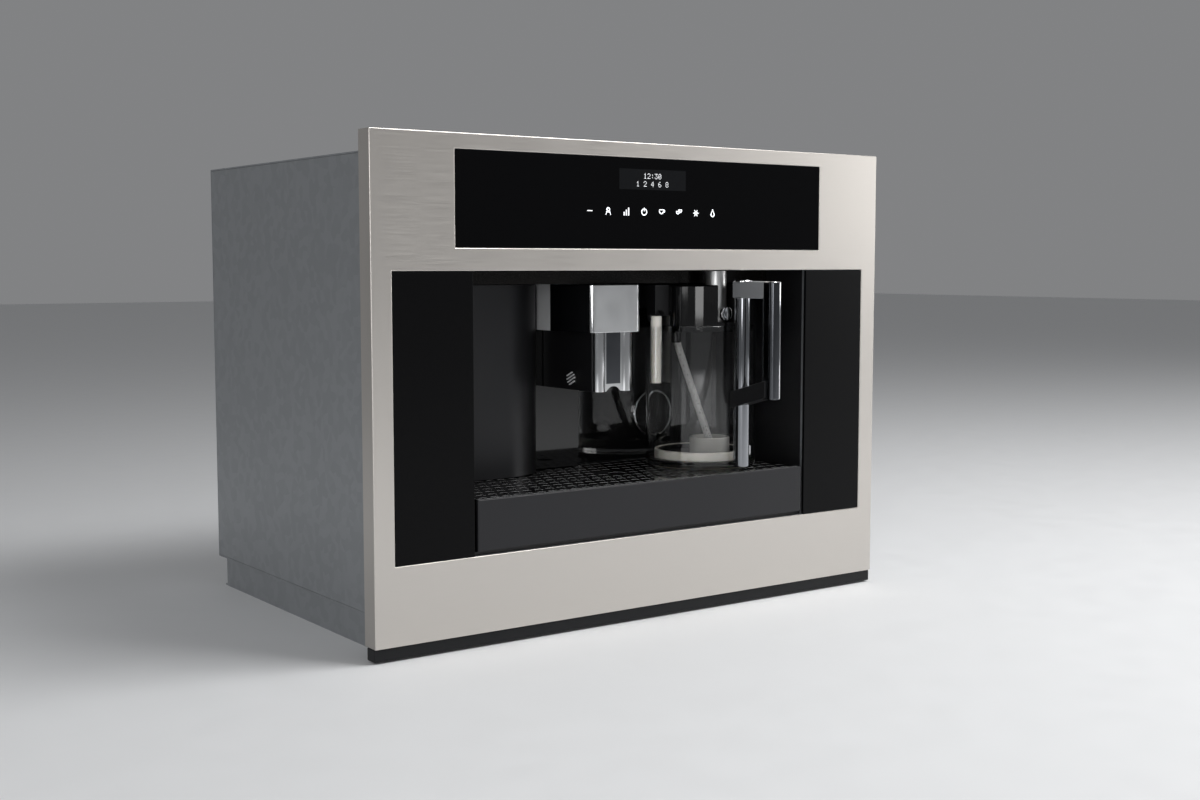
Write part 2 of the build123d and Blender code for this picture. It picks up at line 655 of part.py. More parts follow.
with BuildPart() as top_panel:
    span_box((-BODY_HALF, BODY_HALF), body_span, (BODY_TOP - SHEET, BODY_TOP))
    for cut in (
        ((HOPPER_LEFT, HOPPER_RIGHT), (HOPPER_FRONT, HOPPER_BACK)),
        ((CHUTE_LEFT, CHUTE_RIGHT), (CHUTE_FRONT, HOPPER_FRONT)),
    ):
        span_box(
            (cut[0][0] - FIT_GAP, cut[0][1] + FIT_GAP),
            (cut[1][0] - FIT_GAP, cut[1][1] + FIT_GAP),
            (BODY_TOP - 2 * SHEET, BODY_TOP + SHEET),
            mode=Mode.SUBTRACT,
        )
    through_top = (BODY_TOP - 2 * SHEET, BODY_TOP + SHEET)
    for x, depth in top_screw_spots:
        upright(x, depth, SCREW_RADIUS + PIN_CLEARANCE, through_top, Mode.SUBTRACT)
    stem_hole = GRIND_STEM_RADIUS + PIN_CLEARANCE
    upright(GRIND_KNOB_X, GRIND_KNOB_DEPTH, stem_hole, through_top, Mode.SUBTRACT)
    with BuildSketch(Plane.XY.offset(BODY_TOP - 2 * SHEET)):
        with Locations((BODY_HALF / 2, y_at(BODY_DEPTH / 2))):
            with GridLocations(0, TOP_VENT_PITCH, 1, TOP_VENT_ROWS):
                SlotOverall(TOP_VENT_LENGTH, TOP_VENT_WIDTH)
    extrude(amount=4 * SHEET, mode=Mode.SUBTRACT)
    hinge_lugs(HOPPER_LID_X, HOPPER_HINGE)
    hinge_lugs(POWDER_LID_X, POWDER_HINGE)

with BuildPart() as panel_screws:
    for x, z in rear_screw_spots:
        inward(SCREW_HEAD_RADIUS, x, (BODY_DEPTH, BODY_DEPTH + SCREW_HEAD), z)
        inward(SCREW_RADIUS, x, (BODY_DEPTH - SCREW_LENGTH, BODY_DEPTH), z)
    for x, depth in top_screw_spots:
        upright(x, depth, SCREW_HEAD_RADIUS, (BODY_TOP, BODY_TOP + SCREW_HEAD))
        upright(x, depth, SCREW_RADIUS, (BODY_TOP - SCREW_LENGTH, BODY_TOP))

# ================================================================ front
display_bottom = CONTROL_BOTTOM + DISPLAY_BOTTOM_RISE
display_top = display_bottom + DISPLAY_HEIGHT
icon_bottom = CONTROL_BOTTOM + ICON_RISE
window_z = (icon_bottom - WINDOW_MARGIN, display_top + WINDOW_MARGIN)

with BuildPart() as front_frame:
    frame_half = FRONT_WIDTH / 2 - FASCIA_SHEET - FIT_GAP
    frame_bottom = FRONT_BOTTOM + FASCIA_SHEET + FIT_GAP
    frame_top = FRONT_TOP - FASCIA_SHEET - FIT_GAP
    span_box((-frame_half, frame_half), (FRAME_FRONT, FRAME_BACK), (frame_bottom, frame_top))
    flange_outside = BODY_INNER - FIT_GAP
    for side in (-1, 1):
        span_box(
            on_side(side, flange_outside - FRAME_SHEET, flange_outside),
            (FRAME_BACK, BODY_FRONT + FASCIA_RETURN),
            (SHOULDER + FIT_GAP, BODY_TOP - SHEET - FIT_GAP),
        )
    span_box(
        (-RECESS_HALF, RECESS_HALF),
        (0, BODY_FRONT),
        (OPENING_BOTTOM, OPENING_TOP),
        mode=Mode.SUBTRACT,
    )
    span_box((-WINDOW_HALF, WINDOW_HALF), (0, BODY_FRONT), window_z, mode=Mode.SUBTRACT)

with BuildPart() as fascia:
    span_box((-FRONT_WIDTH / 2, FRONT_WIDTH / 2), (0, FASCIA_RETURN), (FRONT_BOTTOM, FRONT_TOP))
    span_box(
        (-FRONT_WIDTH / 2 + FASCIA_SHEET, FRONT_WIDTH / 2 - FASCIA_SHEET),
        (FASCIA_SHEET, FASCIA_RETURN),
        (FRONT_BOTTOM + FASCIA_SHEET, FRONT_TOP - FASCIA_SHEET),
        mode=Mode.SUBTRACT,
    )
    span_box(
        (-OPENING_WIDTH / 2, OPENING_WIDTH / 2),
        (0, FASCIA_SHEET),
        (OPENING_BOTTOM, OPENING_TOP),
        mode=Mode.SUBTRACT,
    )
    span_box(
        (-CONTROL_WIDTH / 2, CONTROL_WIDTH / 2),
        (0, FASCIA_SHEET),
        (CONTROL_BOTTOM, CONTROL_TOP),
        mode=Mode.SUBTRACT,
    )
    top_edges = fascia.edges().filter_by(Axis.X).group_by(Axis.Z)[-1]
    chamfer(top_edges.sort_by(Axis.Y)[0], TOP_BEVEL)

with BuildPart() as control_glass:
    span_box(
        (-CONTROL_WIDTH / 2 + FIT_GAP, CONTROL_WIDTH / 2 - FIT_GAP),
        (0, PANEL_THICKNESS),
        (CONTROL_BOTTOM + FIT_GAP, CONTROL_TOP - FIT_GAP),
    )

with BuildPart() as control_board:
    module_back = FRAME_FRONT + MODULE_DEPTH
    board_z = (window_z[0] - BOARD_MARGIN, window_z[1] + BOARD_MARGIN)
    board_half = WINDOW_HALF + BOARD_MARGIN
    span_box((-DISPLAY_HALF, DISPLAY_HALF), (FRAME_FRONT, module_back), (display_bottom, display_top))
    span_box((-ICON_HALF, ICON_HALF), (FRAME_FRONT, module_back), (icon_bottom, icon_bottom + ICON_HEIGHT))
    span_box((-board_half, board_half), (module_back, module_back + BOARD_SHEET), board_z)
    post_inset = BOARD_MARGIN / 2
    for post_x in (-board_half + post_inset, board_half - post_inset):
        for post_z in (board_z[0] + post_inset, board_z[1] - post_inset):
            inward(POST_RADIUS, post_x, (FRAME_BACK, module_back), post_z)

TRIM_BOTTOM = 1.5
TRIM_SPAN = (2.0, 16.0)
with BuildPart() as bottom_trim:
    span_box((-FRONT_WIDTH / 2, FRONT_WIDTH / 2), TRIM_SPAN, (TRIM_BOTTOM, FRONT_BOTTOM - FIT_GAP))

with BuildPart() as flank_panels:
    for side in (-1, 1):
        span_box(
            on_side(side, RECESS_HALF, OPENING_WIDTH / 2 - FIT_GAP),
            (0, PANEL_THICKNESS),
            (OPENING_BOTTOM + FIT_GAP, OPENING_TOP - FIT_GAP),
        )

# ================================================================ recess
liner_front = FRAME_BACK + FIT_GAP
with BuildPart() as recess_liner:
    liner_half = RECESS_HALF + LINER_WALL
    wall_z = (OPENING_BOTTOM, OPENING_TOP)
    liner_x = (-liner_half, liner_half)
    span_box(liner_x, (liner_front, TRAY_STOP_DEPTH + LINER_WALL), (OPENING_BOTTOM, FLOOR_LEVEL))
    span_box((-liner_half, -RECESS_HALF), (liner_front, TRAY_STOP_DEPTH), wall_z)
    span_box(
        (-liner_half, -RECESS_HALF),
        (TRAY_STOP_DEPTH, WALL_DEPTH + WALL_RETURN),
        (DECK_TOP + FIT_GAP, OPENING_TOP),
    )
    span_box((RECESS_HALF, liner_half), (liner_front, WALL_DEPTH + LINER_WALL), wall_z)
    stop_span = (TRAY_STOP_DEPTH, TRAY_STOP_DEPTH + LINER_WALL)
    span_box(liner_x, stop_span, (OPENING_BOTTOM, DECK_TOP - SHEET - FIT_GAP))
    span_box(
        (-RECESS_HALF, HINGE_X),
        (HINGE_DEPTH - LUG_RADIUS, HINGE_DEPTH + LUG_RADIUS),
        (DOOR_BOTTOM, LUG_TOP),
    )
    upright(HINGE_X, HINGE_DEPTH, LUG_RADIUS, (DOOR_BOTTOM, LUG_TOP))
    upright(
        HINGE_X,
        HINGE_DEPTH,
        PIN_RADIUS + PIN_CLEARANCE,
        (DOOR_BOTTOM - OVERCUT, LUG_TOP + OVERCUT),
        Mode.SUBTRACT,
    )

with BuildPart() as recess_header:
    header_half = RECESS_HALF - FIT_GAP
    header_x = (-header_half, header_half)
    header_top = OPENING_TOP + HEADER_SHEET
    span_box(header_x, (liner_front, HEADER_DEPTH + HEADER_SHEET), (OPENING_TOP, header_top))
    span_box(header_x, (HEADER_DEPTH, HEADER_DEPTH + HEADER_SHEET), (HEADER_BOTTOM, header_top))
    span_box(header_x, (HEADER_DEPTH, HEADER_BACK), (HEADER_BOTTOM, HEADER_BOTTOM + HEADER_SHEET))
    upright(
        HINGE_X,
        HINGE_DEPTH,
        PIN_RADIUS + PIN_CLEARANCE,
        (HEADER_BOTTOM - OVERCUT, HEADER_BOTTOM + HEADER_SHEET + OVERCUT),
        Mode.SUBTRACT,
    )

button_z = GRILLE_TOP + BUTTON_RISE
with BuildPart() as recess_back_wall:
    back_span = (WALL_DEPTH, WALL_DEPTH + LINER_WALL)
    wall_right = RECESS_HALF - FIT_GAP
    back_z = (DOOR_BOTTOM, HEADER_BOTTOM - FIT_GAP)
    span_box((DOOR_SPLIT, wall_right), back_span, back_z)
    span_box((DOOR_SPLIT, DOOR_SPLIT + LINER_WALL), (WALL_DEPTH, WALL_DEPTH + WALL_EDGE), back_z)
    cut_span = (WALL_DEPTH - OVERCUT, WALL_DEPTH + LINER_WALL + OVERCUT)
    inward(BUTTON_RADIUS + FIT_GAP, BUTTON_X, cut_span, button_z, Mode.SUBTRACT)
    inward(NOZZLE_RADIUS + FIT_GAP, NOZZLE_X, cut_span, NOZZLE_Z, Mode.SUBTRACT)

with BuildPart() as release_button:
    flange_front = WALL_DEPTH + LINER_WALL + FIT_GAP
    inward(BUTTON_RADIUS, BUTTON_X, (WALL_DEPTH - BUTTON_PROUD, flange_front), button_z)
    inward(BUTTON_RADIUS + BUTTON_RIM, BUTTON_X, (flange_front, flange_front + BUTTON_FLANGE), button_z)

with BuildPart() as steam_nozzle:
    nozzle_back = WALL_DEPTH + LINER_WALL
    inward(NOZZLE_RADIUS, NOZZLE_X, (WALL_DEPTH - NOZZLE_REACH, nozzle_back + NOZZLE_TAIL), NOZZLE_Z)
    inward(NOZZLE_FLANGE, NOZZLE_X, (nozzle_back, nozzle_back + LINER_WALL), NOZZLE_Z)

with BuildPart() as door_hinge_pins:
    upright(HINGE_X, HINGE_DEPTH, PIN_RADIUS, (DOOR_BOTTOM, LUG_TOP + KNUCKLE_HEIGHT))
    upright(HINGE_X, HINGE_DEPTH, PIN_RADIUS, (DOOR_TOP - KNUCKLE_HEIGHT, HEADER_BOTTOM + HEADER_SHEET))

# ================================================================ service door


def door_line_end(radius, wall_depth):
    """The x value at which an arc about the door's arc centre meets a flat wall."""
    rise = ARC_CENTRE_DEPTH - wall_depth
    return CHEEK_END + sqrt(radius**2 - rise**2)


def arc_middle(radius, wall_depth):
    """A point halfway along the door's arc."""
    half_turn = acos((ARC_CENTRE_DEPTH - wall_depth) / radius) / 2
    turned = Vector(0, -radius).rotate(Axis.Z, degrees(half_turn))
    return (CHEEK_END + turned.X, y_at(ARC_CENTRE_DEPTH) + turned.Y)


def door_edge(left, right, offset_in):
    """The door's line in plan, set in from its outer face: cheek, arc and flat wall."""
    radius = DOOR_ARC - offset_in
    wall_depth = DOOR_WALL_DEPTH + offset_in
    cheek_y = y_at(CHEEK_DEPTH + offset_in)
    arc_end = (door_line_end(radius, wall_depth), y_at(wall_depth))
    cheek = Line((left, cheek_y), (CHEEK_END, cheek_y))
    bend = ThreePointArc((CHEEK_END, cheek_y), arc_middle(radius, wall_depth), arc_end)
    wall = Line(arc_end, (right, y_at(wall_depth)))
    return [cheek, bend, wall]


door_height = DOOR_TOP - DOOR_BOTTOM
with BuildPart() as door_shell:
    with BuildSketch(Plane.XY.offset(DOOR_BOTTOM)) as door_plan:
        with BuildLine():
            door_edge(DOOR_LEFT, DOOR_RIGHT, 0)
            door_edge(DOOR_LEFT, DOOR_RIGHT, DOOR_SHEET)
            Line((DOOR_LEFT, y_at(CHEEK_DEPTH)), (DOOR_LEFT, y_at(CHEEK_DEPTH + DOOR_SHEET)))
            Line((DOOR_RIGHT, y_at(DOOR_WALL_DEPTH)), (DOOR_RIGHT, y_at(DOOR_WALL_DEPTH + DOOR_SHEET)))
        make_face()
    extrude(amount=door_height)
    span_box(
        (DOOR_LEFT - OVERCUT, HINGE_X + LUG_RADIUS + LUG_SWING_GAP),
        (CHEEK_DEPTH - OVERCUT, HINGE_DEPTH + LUG_RADIUS),
        (DOOR_BOTTOM, LUG_TOP + FIT_GAP),
        mode=Mode.SUBTRACT,
    )
    knuckle_spans = (
        (LUG_TOP + FIT_GAP, LUG_TOP + KNUCKLE_HEIGHT),
        (DOOR_TOP - KNUCKLE_HEIGHT, DOOR_TOP),
    )
    for knuckle_z in knuckle_spans:
        upright(HINGE_X, HINGE_DEPTH, KNUCKLE_RADIUS, knuckle_z)
    for knuckle_z in knuckle_spans:
        upright(
            HINGE_X,
            HINGE_DEPTH,
            PIN_RADIUS + PIN_CLEARANCE,
            (knuckle_z[0] - OVERCUT, knuckle_z[1] + OVERCUT),
            Mode.SUBTRACT,
        )
    span_box(
        (GUIDE_X - GUIDE_WIDTH / 2, GUIDE_X + GUIDE_WIDTH / 2),
        (DOOR_WALL_DEPTH - OVERCUT, DOOR_WALL_DEPTH + DOOR_SHEET + OVERCUT),
        (GUIDE_BOTTOM - FIT_GAP, GUIDE_BOTTOM + GUIDE_HEIGHT + SPOUT_TRAVEL + FIT_GAP),
        mode=Mode.SUBTRACT,
    )

with BuildPart() as door_inner_panel:
    panel_left = HINGE_X + KNUCKLE_RADIUS + LUG_SWING_GAP
    panel_right = DOOR_RIGHT - DOOR_PANEL_INSET
    seat = DOOR_SHEET + FIT_GAP
    panel_bottom = LUG_TOP + FIT_GAP
    plate_heights = (panel_bottom, DOOR_TOP - DOOR_PANEL_WALL)
    for plate_z in plate_heights:
        with BuildSketch(Plane.XY.offset(plate_z)):
            with BuildLine():
                door_edge(panel_left, panel_right, seat)
                Line((panel_right, y_at(DOOR_WALL_DEPTH + seat)), (panel_right, y_at(DOOR_BOX_DEPTH)))
                Line((panel_right, y_at(DOOR_BOX_DEPTH)), (panel_left, y_at(DOOR_BOX_DEPTH)))
                Line((panel_left, y_at(DOOR_BOX_DEPTH)), (panel_left, y_at(CHEEK_DEPTH + seat)))
            make_face()
        extrude(amount=DOOR_PANEL_WALL)
    panel_z_span = (panel_bottom, DOOR_TOP)
    span_box((panel_left, panel_right), (DOOR_BOX_DEPTH - DOOR_PANEL_WALL, DOOR_BOX_DEPTH), panel_z_span)
    span_box(
        (panel_left, panel_left + DOOR_PANEL_WALL),
        (CHEEK_DEPTH + seat, DOOR_BOX_DEPTH),
        panel_z_span,
    )
    span_box(
        (panel_right - DOOR_PANEL_WALL, panel_right),
        (DOOR_WALL_DEPTH + seat, DOOR_BOX_DEPTH),
        panel_z_span,
    )

# ================================================================ coffee spout
with BuildPart() as spout_housing:
    housing_centre = (
        (HOUSING_LEFT + HOUSING_RIGHT) / 2,
        y_at((HOUSING_FRONT + DOOR_WALL_DEPTH) / 2),
    )
    housing_width = HOUSING_RIGHT - HOUSING_LEFT
    housing_length = DOOR_WALL_DEPTH - HOUSING_FRONT
    with BuildSketch(Plane.XY.offset(HOUSING_BOTTOM)) as housing_outline:
        with Locations(housing_centre):
            Rectangle(housing_width, housing_length)
        fillet(housing_outline.vertices().group_by(Axis.Y)[0], HOUSING_CORNER)
    extrude(amount=HOUSING_HEIGHT)
    with BuildSketch(Plane.XY.offset(HOUSING_BOTTOM)) as housing_hollow:
        with Locations(housing_centre):
            Rectangle(housing_width - 2 * HOUSING_WALL, housing_length - 2 * HOUSING_WALL)
        fillet(housing_hollow.vertices().group_by(Axis.Y)[0], HOUSING_CORNER - HOUSING_WALL)
        with Locations((housing_centre[0], y_at(DOOR_WALL_DEPTH - HOUSING_WALL))):
            Rectangle(housing_width - 2 * HOUSING_WALL, 2 * HOUSING_WALL)
    extrude(amount=HOUSING_HEIGHT - HOUSING_WALL, mode=Mode.SUBTRACT)

column_spots = [
    (x, y_at(COLUMN_DEPTH))
    for x in (SPOUT_LEFT + COLUMN_RADIUS, SPOUT_RIGHT - COLUMN_RADIUS)
]
with BuildPart() as nozzle_cover:
    with BuildSketch(Plane.XY.offset(SPOUT_BOTTOM)):
        with Locations(*column_spots):
            Circle(COLUMN_RADIUS)
        with Locations((GUIDE_X, y_at(COLUMN_DEPTH - COLUMN_WEB / 2))):
            Rectangle(SPOUT_RIGHT - SPOUT_LEFT - 2 * COLUMN_RADIUS, COLUMN_WEB)
        with Locations((GUIDE_X, y_at(COLUMN_DEPTH + COLUMN_RADIUS))):
            Rectangle(SPOUT_RIGHT - SPOUT_LEFT, 2 * COLUMN_RADIUS, mode=Mode.SUBTRACT)
    extrude(amount=SPOUT_TOP - SPOUT_BOTTOM)
    inward(
        ARCH_RADIUS,
        GUIDE_X,
        (HOUSING_FRONT, COLUMN_DEPTH + OVERCUT),
        SPOUT_BOTTOM + ARCH_RISE - ARCH_RADIUS,
        Mode.SUBTRACT,
    )

with BuildPart() as spout_carriage:
    span_box((SPOUT_LEFT, SPOUT_RIGHT), (COLUMN_DEPTH, SPOUT_BACK), (SPOUT_BOTTOM, SPOUT_TOP))
    for x, _ in column_spots:
        upright(
            x,
            COLUMN_DEPTH + COLUMN_RADIUS,
            NOZZLE_BORE,
            (SPOUT_BOTTOM - OVERCUT, SPOUT_BOTTOM + NOZZLE_DEPTH),
            Mode.SUBTRACT,
        )
    guide_z = (GUIDE_BOTTOM, GUIDE_BOTTOM + GUIDE_HEIGHT)
    guide_half = GUIDE_WIDTH / 2 - FIT_GAP
    keeper_front = DOOR_WALL_DEPTH + DOOR_SHEET + FIT_GAP
    span_box((GUIDE_X - guide_half, GUIDE_X + guide_half), (SPOUT_BACK, keeper_front), guide_z)
    keeper_half = guide_half + KEEPER_OVERHANG
    keeper_span = (keeper_front, keeper_front + KEEPER_THICKNESS)
    span_box((GUIDE_X - keeper_half, GUIDE_X + keeper_half), keeper_span, guide_z)
    across(
        GRIP_RADIUS,
        (SPOUT_LEFT - GRIP_THICKNESS, SPOUT_LEFT),
        GRIP_DEPTH,
        SPOUT_BOTTOM + GRIP_RISE,
    )

# ================================================================ drip tray
with BuildPart() as drip_tray_front:
    span_box(
        (-TRAY_HALF, TRAY_HALF),
        (0, TRAY_FRONT_THICKNESS),
        (OPENING_BOTTOM + TRAY_FLOOR_GAP, GRILLE_TOP),
    )
    front_edges = drip_tray_front.edges().filter_by(Axis.X).group_by(Axis.Y)[0]
    fillet(front_edges, TRAY_EDGE)

with BuildPart() as drip_tray_bin:
    span_box((-BIN_HALF, BIN_HALF), (TRAY_FRONT_THICKNESS, TRAY_BACK), (BIN_BOTTOM, BIN_TOP))
    span_box(
        (-BIN_HALF + BIN_WALL, BIN_HALF - BIN_WALL),
        (TRAY_FRONT_THICKNESS + BIN_WALL, TRAY_BACK - BIN_WALL),
        (BIN_BOTTOM + BIN_WALL, BIN_TOP + OVERCUT),
        mode=Mode.SUBTRACT,
    )

SLOT_COUNT = int((2 * TRAY_HALF - SLOT_PITCH_X) / SLOT_PITCH_X)
with BuildPart() as drip_grille:
    grille_half = TRAY_HALF - GRILLE_INSET
    grille_middle = (TRAY_FRONT_THICKNESS + TRAY_BACK) / 2
    span_box((-grille_half, grille_half), (TRAY_FRONT_THICKNESS, TRAY_BACK), (BIN_TOP, GRILLE_TOP))
    with BuildSketch(Plane.XY.offset(BIN_TOP)):
        for row in range(SLOT_ROWS):
            row_y = y_at(grille_middle + (row - (SLOT_ROWS - 1) / 2) * SLOT_PITCH_Y)
            shift = SLOT_PITCH_X / 2 * (row % 2)
            with Locations((shift - SLOT_PITCH_X / 4, row_y)):
                with GridLocations(SLOT_PITCH_X, 0, SLOT_COUNT, 1):
                    Rectangle(SLOT_LENGTH, SLOT_WIDTH)
    extrude(amount=GRILLE_THICKNESS, mode=Mode.SUBTRACT)
    float_z = (BIN_TOP - OVERCUT, GRILLE_TOP + OVERCUT)
    upright(FLOAT_X, FLOAT_DEPTH, FLOAT_RADIUS + FLOAT_COLLAR, (BIN_TOP, GRILLE_TOP))
    upright(FLOAT_X, FLOAT_DEPTH, FLOAT_RADIUS + FIT_GAP, float_z, Mode.SUBTRACT)

with BuildPart() as drip_float:
    upright(
        FLOAT_X,
        FLOAT_DEPTH,
        FLOAT_RADIUS,
        (BIN_BOTTOM + BIN_WALL + FIT_GAP, GRILLE_TOP - FLOAT_TRAVEL),
    )
    fillet(drip_float.edges().group_by(Axis.Z)[-1], BUTTON_EDGE)

# ================================================================ milk jug
with BuildPart() as jug_glass:
    upright(JUG_X, JUG_DEPTH, JUG_RADIUS, (JUG_BOTTOM, JUG_TOP))
    upright(JUG_X, JUG_DEPTH, JUG_INNER, (JUG_BOTTOM + JUG_FLOOR, JUG_TOP + OVERCUT), Mode.SUBTRACT)
    fillet(jug_glass.edges().group_by(Axis.Z)[0], JUG_EDGE)

base_bottom = JUG_BOTTOM + JUG_FLOOR
with BuildPart() as jug_base:
    base_floor = base_bottom + BASE_WALL
    strainer_top = base_bottom + STRAINER_HEIGHT
    upright(JUG_X, JUG_DEPTH, BASE_RADIUS, (base_bottom, base_bottom + BASE_HEIGHT))
    ring_z = (base_floor, base_bottom + BASE_HEIGHT + OVERCUT)
    upright(JUG_X, JUG_DEPTH, BASE_RADIUS - BASE_WALL, ring_z, Mode.SUBTRACT)
    upright(STRAINER_X, JUG_DEPTH, STRAINER_RADIUS, (base_bottom, strainer_top))
    strainer_inner = STRAINER_RADIUS - STRAINER_WALL
    upright(STRAINER_X, JUG_DEPTH, strainer_inner, (base_floor, strainer_top + OVERCUT), Mode.SUBTRACT)

pocket_x = (FROTHER_X - POCKET_HALF, FROTHER_X + POCKET_HALF)
pocket_back = FROTHER_DEPTH + FROTHER_RADIUS + OVERCUT
duct_x = (FROTHER_X - DUCT_HALF, FROTHER_X + DUCT_HALF)
lid_above = LID_TOP + OVERCUT
with BuildPart() as jug_lid:
    upright(JUG_X, JUG_DEPTH, JUG_RADIUS, (JUG_TOP, LID_TOP))
    fillet(jug_lid.edges().group_by(Axis.Z)[-1], JUG_EDGE)
    upright(JUG_X, JUG_DEPTH, JUG_INNER - FIT_GAP, (JUG_TOP - LID_PLUG, JUG_TOP))
    pocket_span = (JUG_DEPTH - JUG_RADIUS - OVERCUT, pocket_back)
    span_box(pocket_x, pocket_span, (POCKET_BOTTOM, lid_above), mode=Mode.SUBTRACT)
    span_box(
        (duct_x[0] - FIT_GAP, duct_x[1] + FIT_GAP),
        (FROTHER_DEPTH, DOCK_FRONT),
        (DUCT_BOTTOM - FIT_GAP, lid_above),
        mode=Mode.SUBTRACT,
    )
    span_box(
        (DOCK_LEFT - DOCK_CLEARANCE, DOCK_RIGHT + FIT_GAP),
        (DOCK_FRONT - FIT_GAP, WALL_DEPTH),
        (DUCT_BOTTOM - FIT_GAP, lid_above),
        mode=Mode.SUBTRACT,
    )
    span_box(
        (MILK_ARM_LEFT, duct_x[0]),
        (MILK_DEPTH - MILK_ARM_HALF - FIT_GAP, MILK_DEPTH + MILK_ARM_HALF + FIT_GAP),
        (MILK_ARM_BOTTOM - FIT_GAP, lid_above),
        mode=Mode.SUBTRACT,
    )

with BuildPart() as frother_head:
    duct_z = (DUCT_BOTTOM, LID_TOP)
    dock_back = WALL_DEPTH - FIT_GAP
    span_box((DOCK_LEFT, DOCK_RIGHT), (DOCK_FRONT, dock_back), duct_z)
    span_box(duct_x, (FROTHER_DEPTH, DOCK_FRONT), duct_z)
    span_box(
        (MILK_ARM_LEFT, duct_x[0]),
        (MILK_DEPTH - MILK_ARM_HALF, MILK_DEPTH + MILK_ARM_HALF),
        (MILK_ARM_BOTTOM, LID_TOP),
    )
    upright(
        FROTHER_X,
        FROTHER_DEPTH,
        FROTHER_RADIUS,
        (POCKET_BOTTOM + FIT_GAP, LID_TOP + FROTHER_ABOVE_LID),
    )
    inward(
        NOZZLE_RADIUS + FIT_GAP,
        NOZZLE_X,
        (WALL_DEPTH - NOZZLE_REACH - OVERCUT, dock_back + OVERCUT),
        NOZZLE_Z,
        Mode.SUBTRACT,
    )
    inward(
        MILK_PIVOT_RADIUS + FIT_GAP,
        MILK_X,
        (MILK_DEPTH - MILK_ARM_HALF - OVERCUT, MILK_DEPTH + MILK_ARM_HALF + OVERCUT),
        MILK_PIVOT_Z,
        Mode.SUBTRACT,
    )

with BuildPart() as froth_knob:
    knob_back = FROTHER_DEPTH - FROTHER_RADIUS - FIT_GAP
    knob_z = JUG_TOP + KNOB_RISE
    inward(KNOB_RADIUS, FROTHER_X, (knob_back - KNOB_LENGTH, knob_back), knob_z)
    fillet(froth_knob.edges().group_by(Axis.Y)[0], BUTTON_EDGE)

with BuildPart() as milk_spout:
    pivot_half = MILK_ARM_HALF - FIT_GAP
    inward(
        MILK_PIVOT_RADIUS,
        MILK_X,
        (MILK_DEPTH - pivot_half, MILK_DEPTH + pivot_half),
        MILK_PIVOT_Z,
    )
    milk_z = (MILK_PIVOT_Z - MILK_LENGTH, MILK_PIVOT_Z)
    upright(MILK_X, MILK_DEPTH, MILK_RADIUS, milk_z)
    upright(MILK_X, MILK_DEPTH, NOZZLE_BORE, (milk_z[0] - OVERCUT, milk_z[0] + NOZZLE_DEPTH), Mode.SUBTRACT)

intake_top = JUG_TOP - LID_PLUG - FIT_GAP
intake_bottom = base_bottom + INTAKE_RISE
with BuildPart() as milk_intake_tube:
    with BuildLine() as intake_path:
        Line(
            (INTAKE_X, y_at(JUG_DEPTH), intake_top - INTAKE_RADIUS),
            (INTAKE_X + INTAKE_LEAN, y_at(JUG_DEPTH), intake_bottom),
        )
    with BuildSketch(Plane(origin=intake_path.line @ 0, z_dir=intake_path.line % 0)):
        Circle(INTAKE_RADIUS)
    sweep()
    upright(INTAKE_X, JUG_DEPTH, INTAKE_RADIUS + INTAKE_COLLAR, (intake_top - 3 * INTAKE_RADIUS, intake_top))

with BuildPart() as jug_handle_column:
    column_z = (JUG_BOTTOM + HANDLE_FOOT, BRIDGE_BOTTOM)
    upright(COLUMN_X, HANDLE_COLUMN_DEPTH, HANDLE_COLUMN_RADIUS, column_z)
    span_box(
        (COLUMN_X - COLUMN_WEB_WIDTH / 2, COLUMN_X + COLUMN_WEB_WIDTH / 2),
        (HANDLE_COLUMN_DEPTH, JUG_DEPTH - JUG_INNER),
        (BRIDGE_BOTTOM - COLUMN_WEB_HEIGHT, BRIDGE_BOTTOM),
    )
    upright(JUG_X, JUG_DEPTH, JUG_RADIUS + FIT_GAP, (JUG_BOTTOM, LID_TOP), Mode.SUBTRACT)

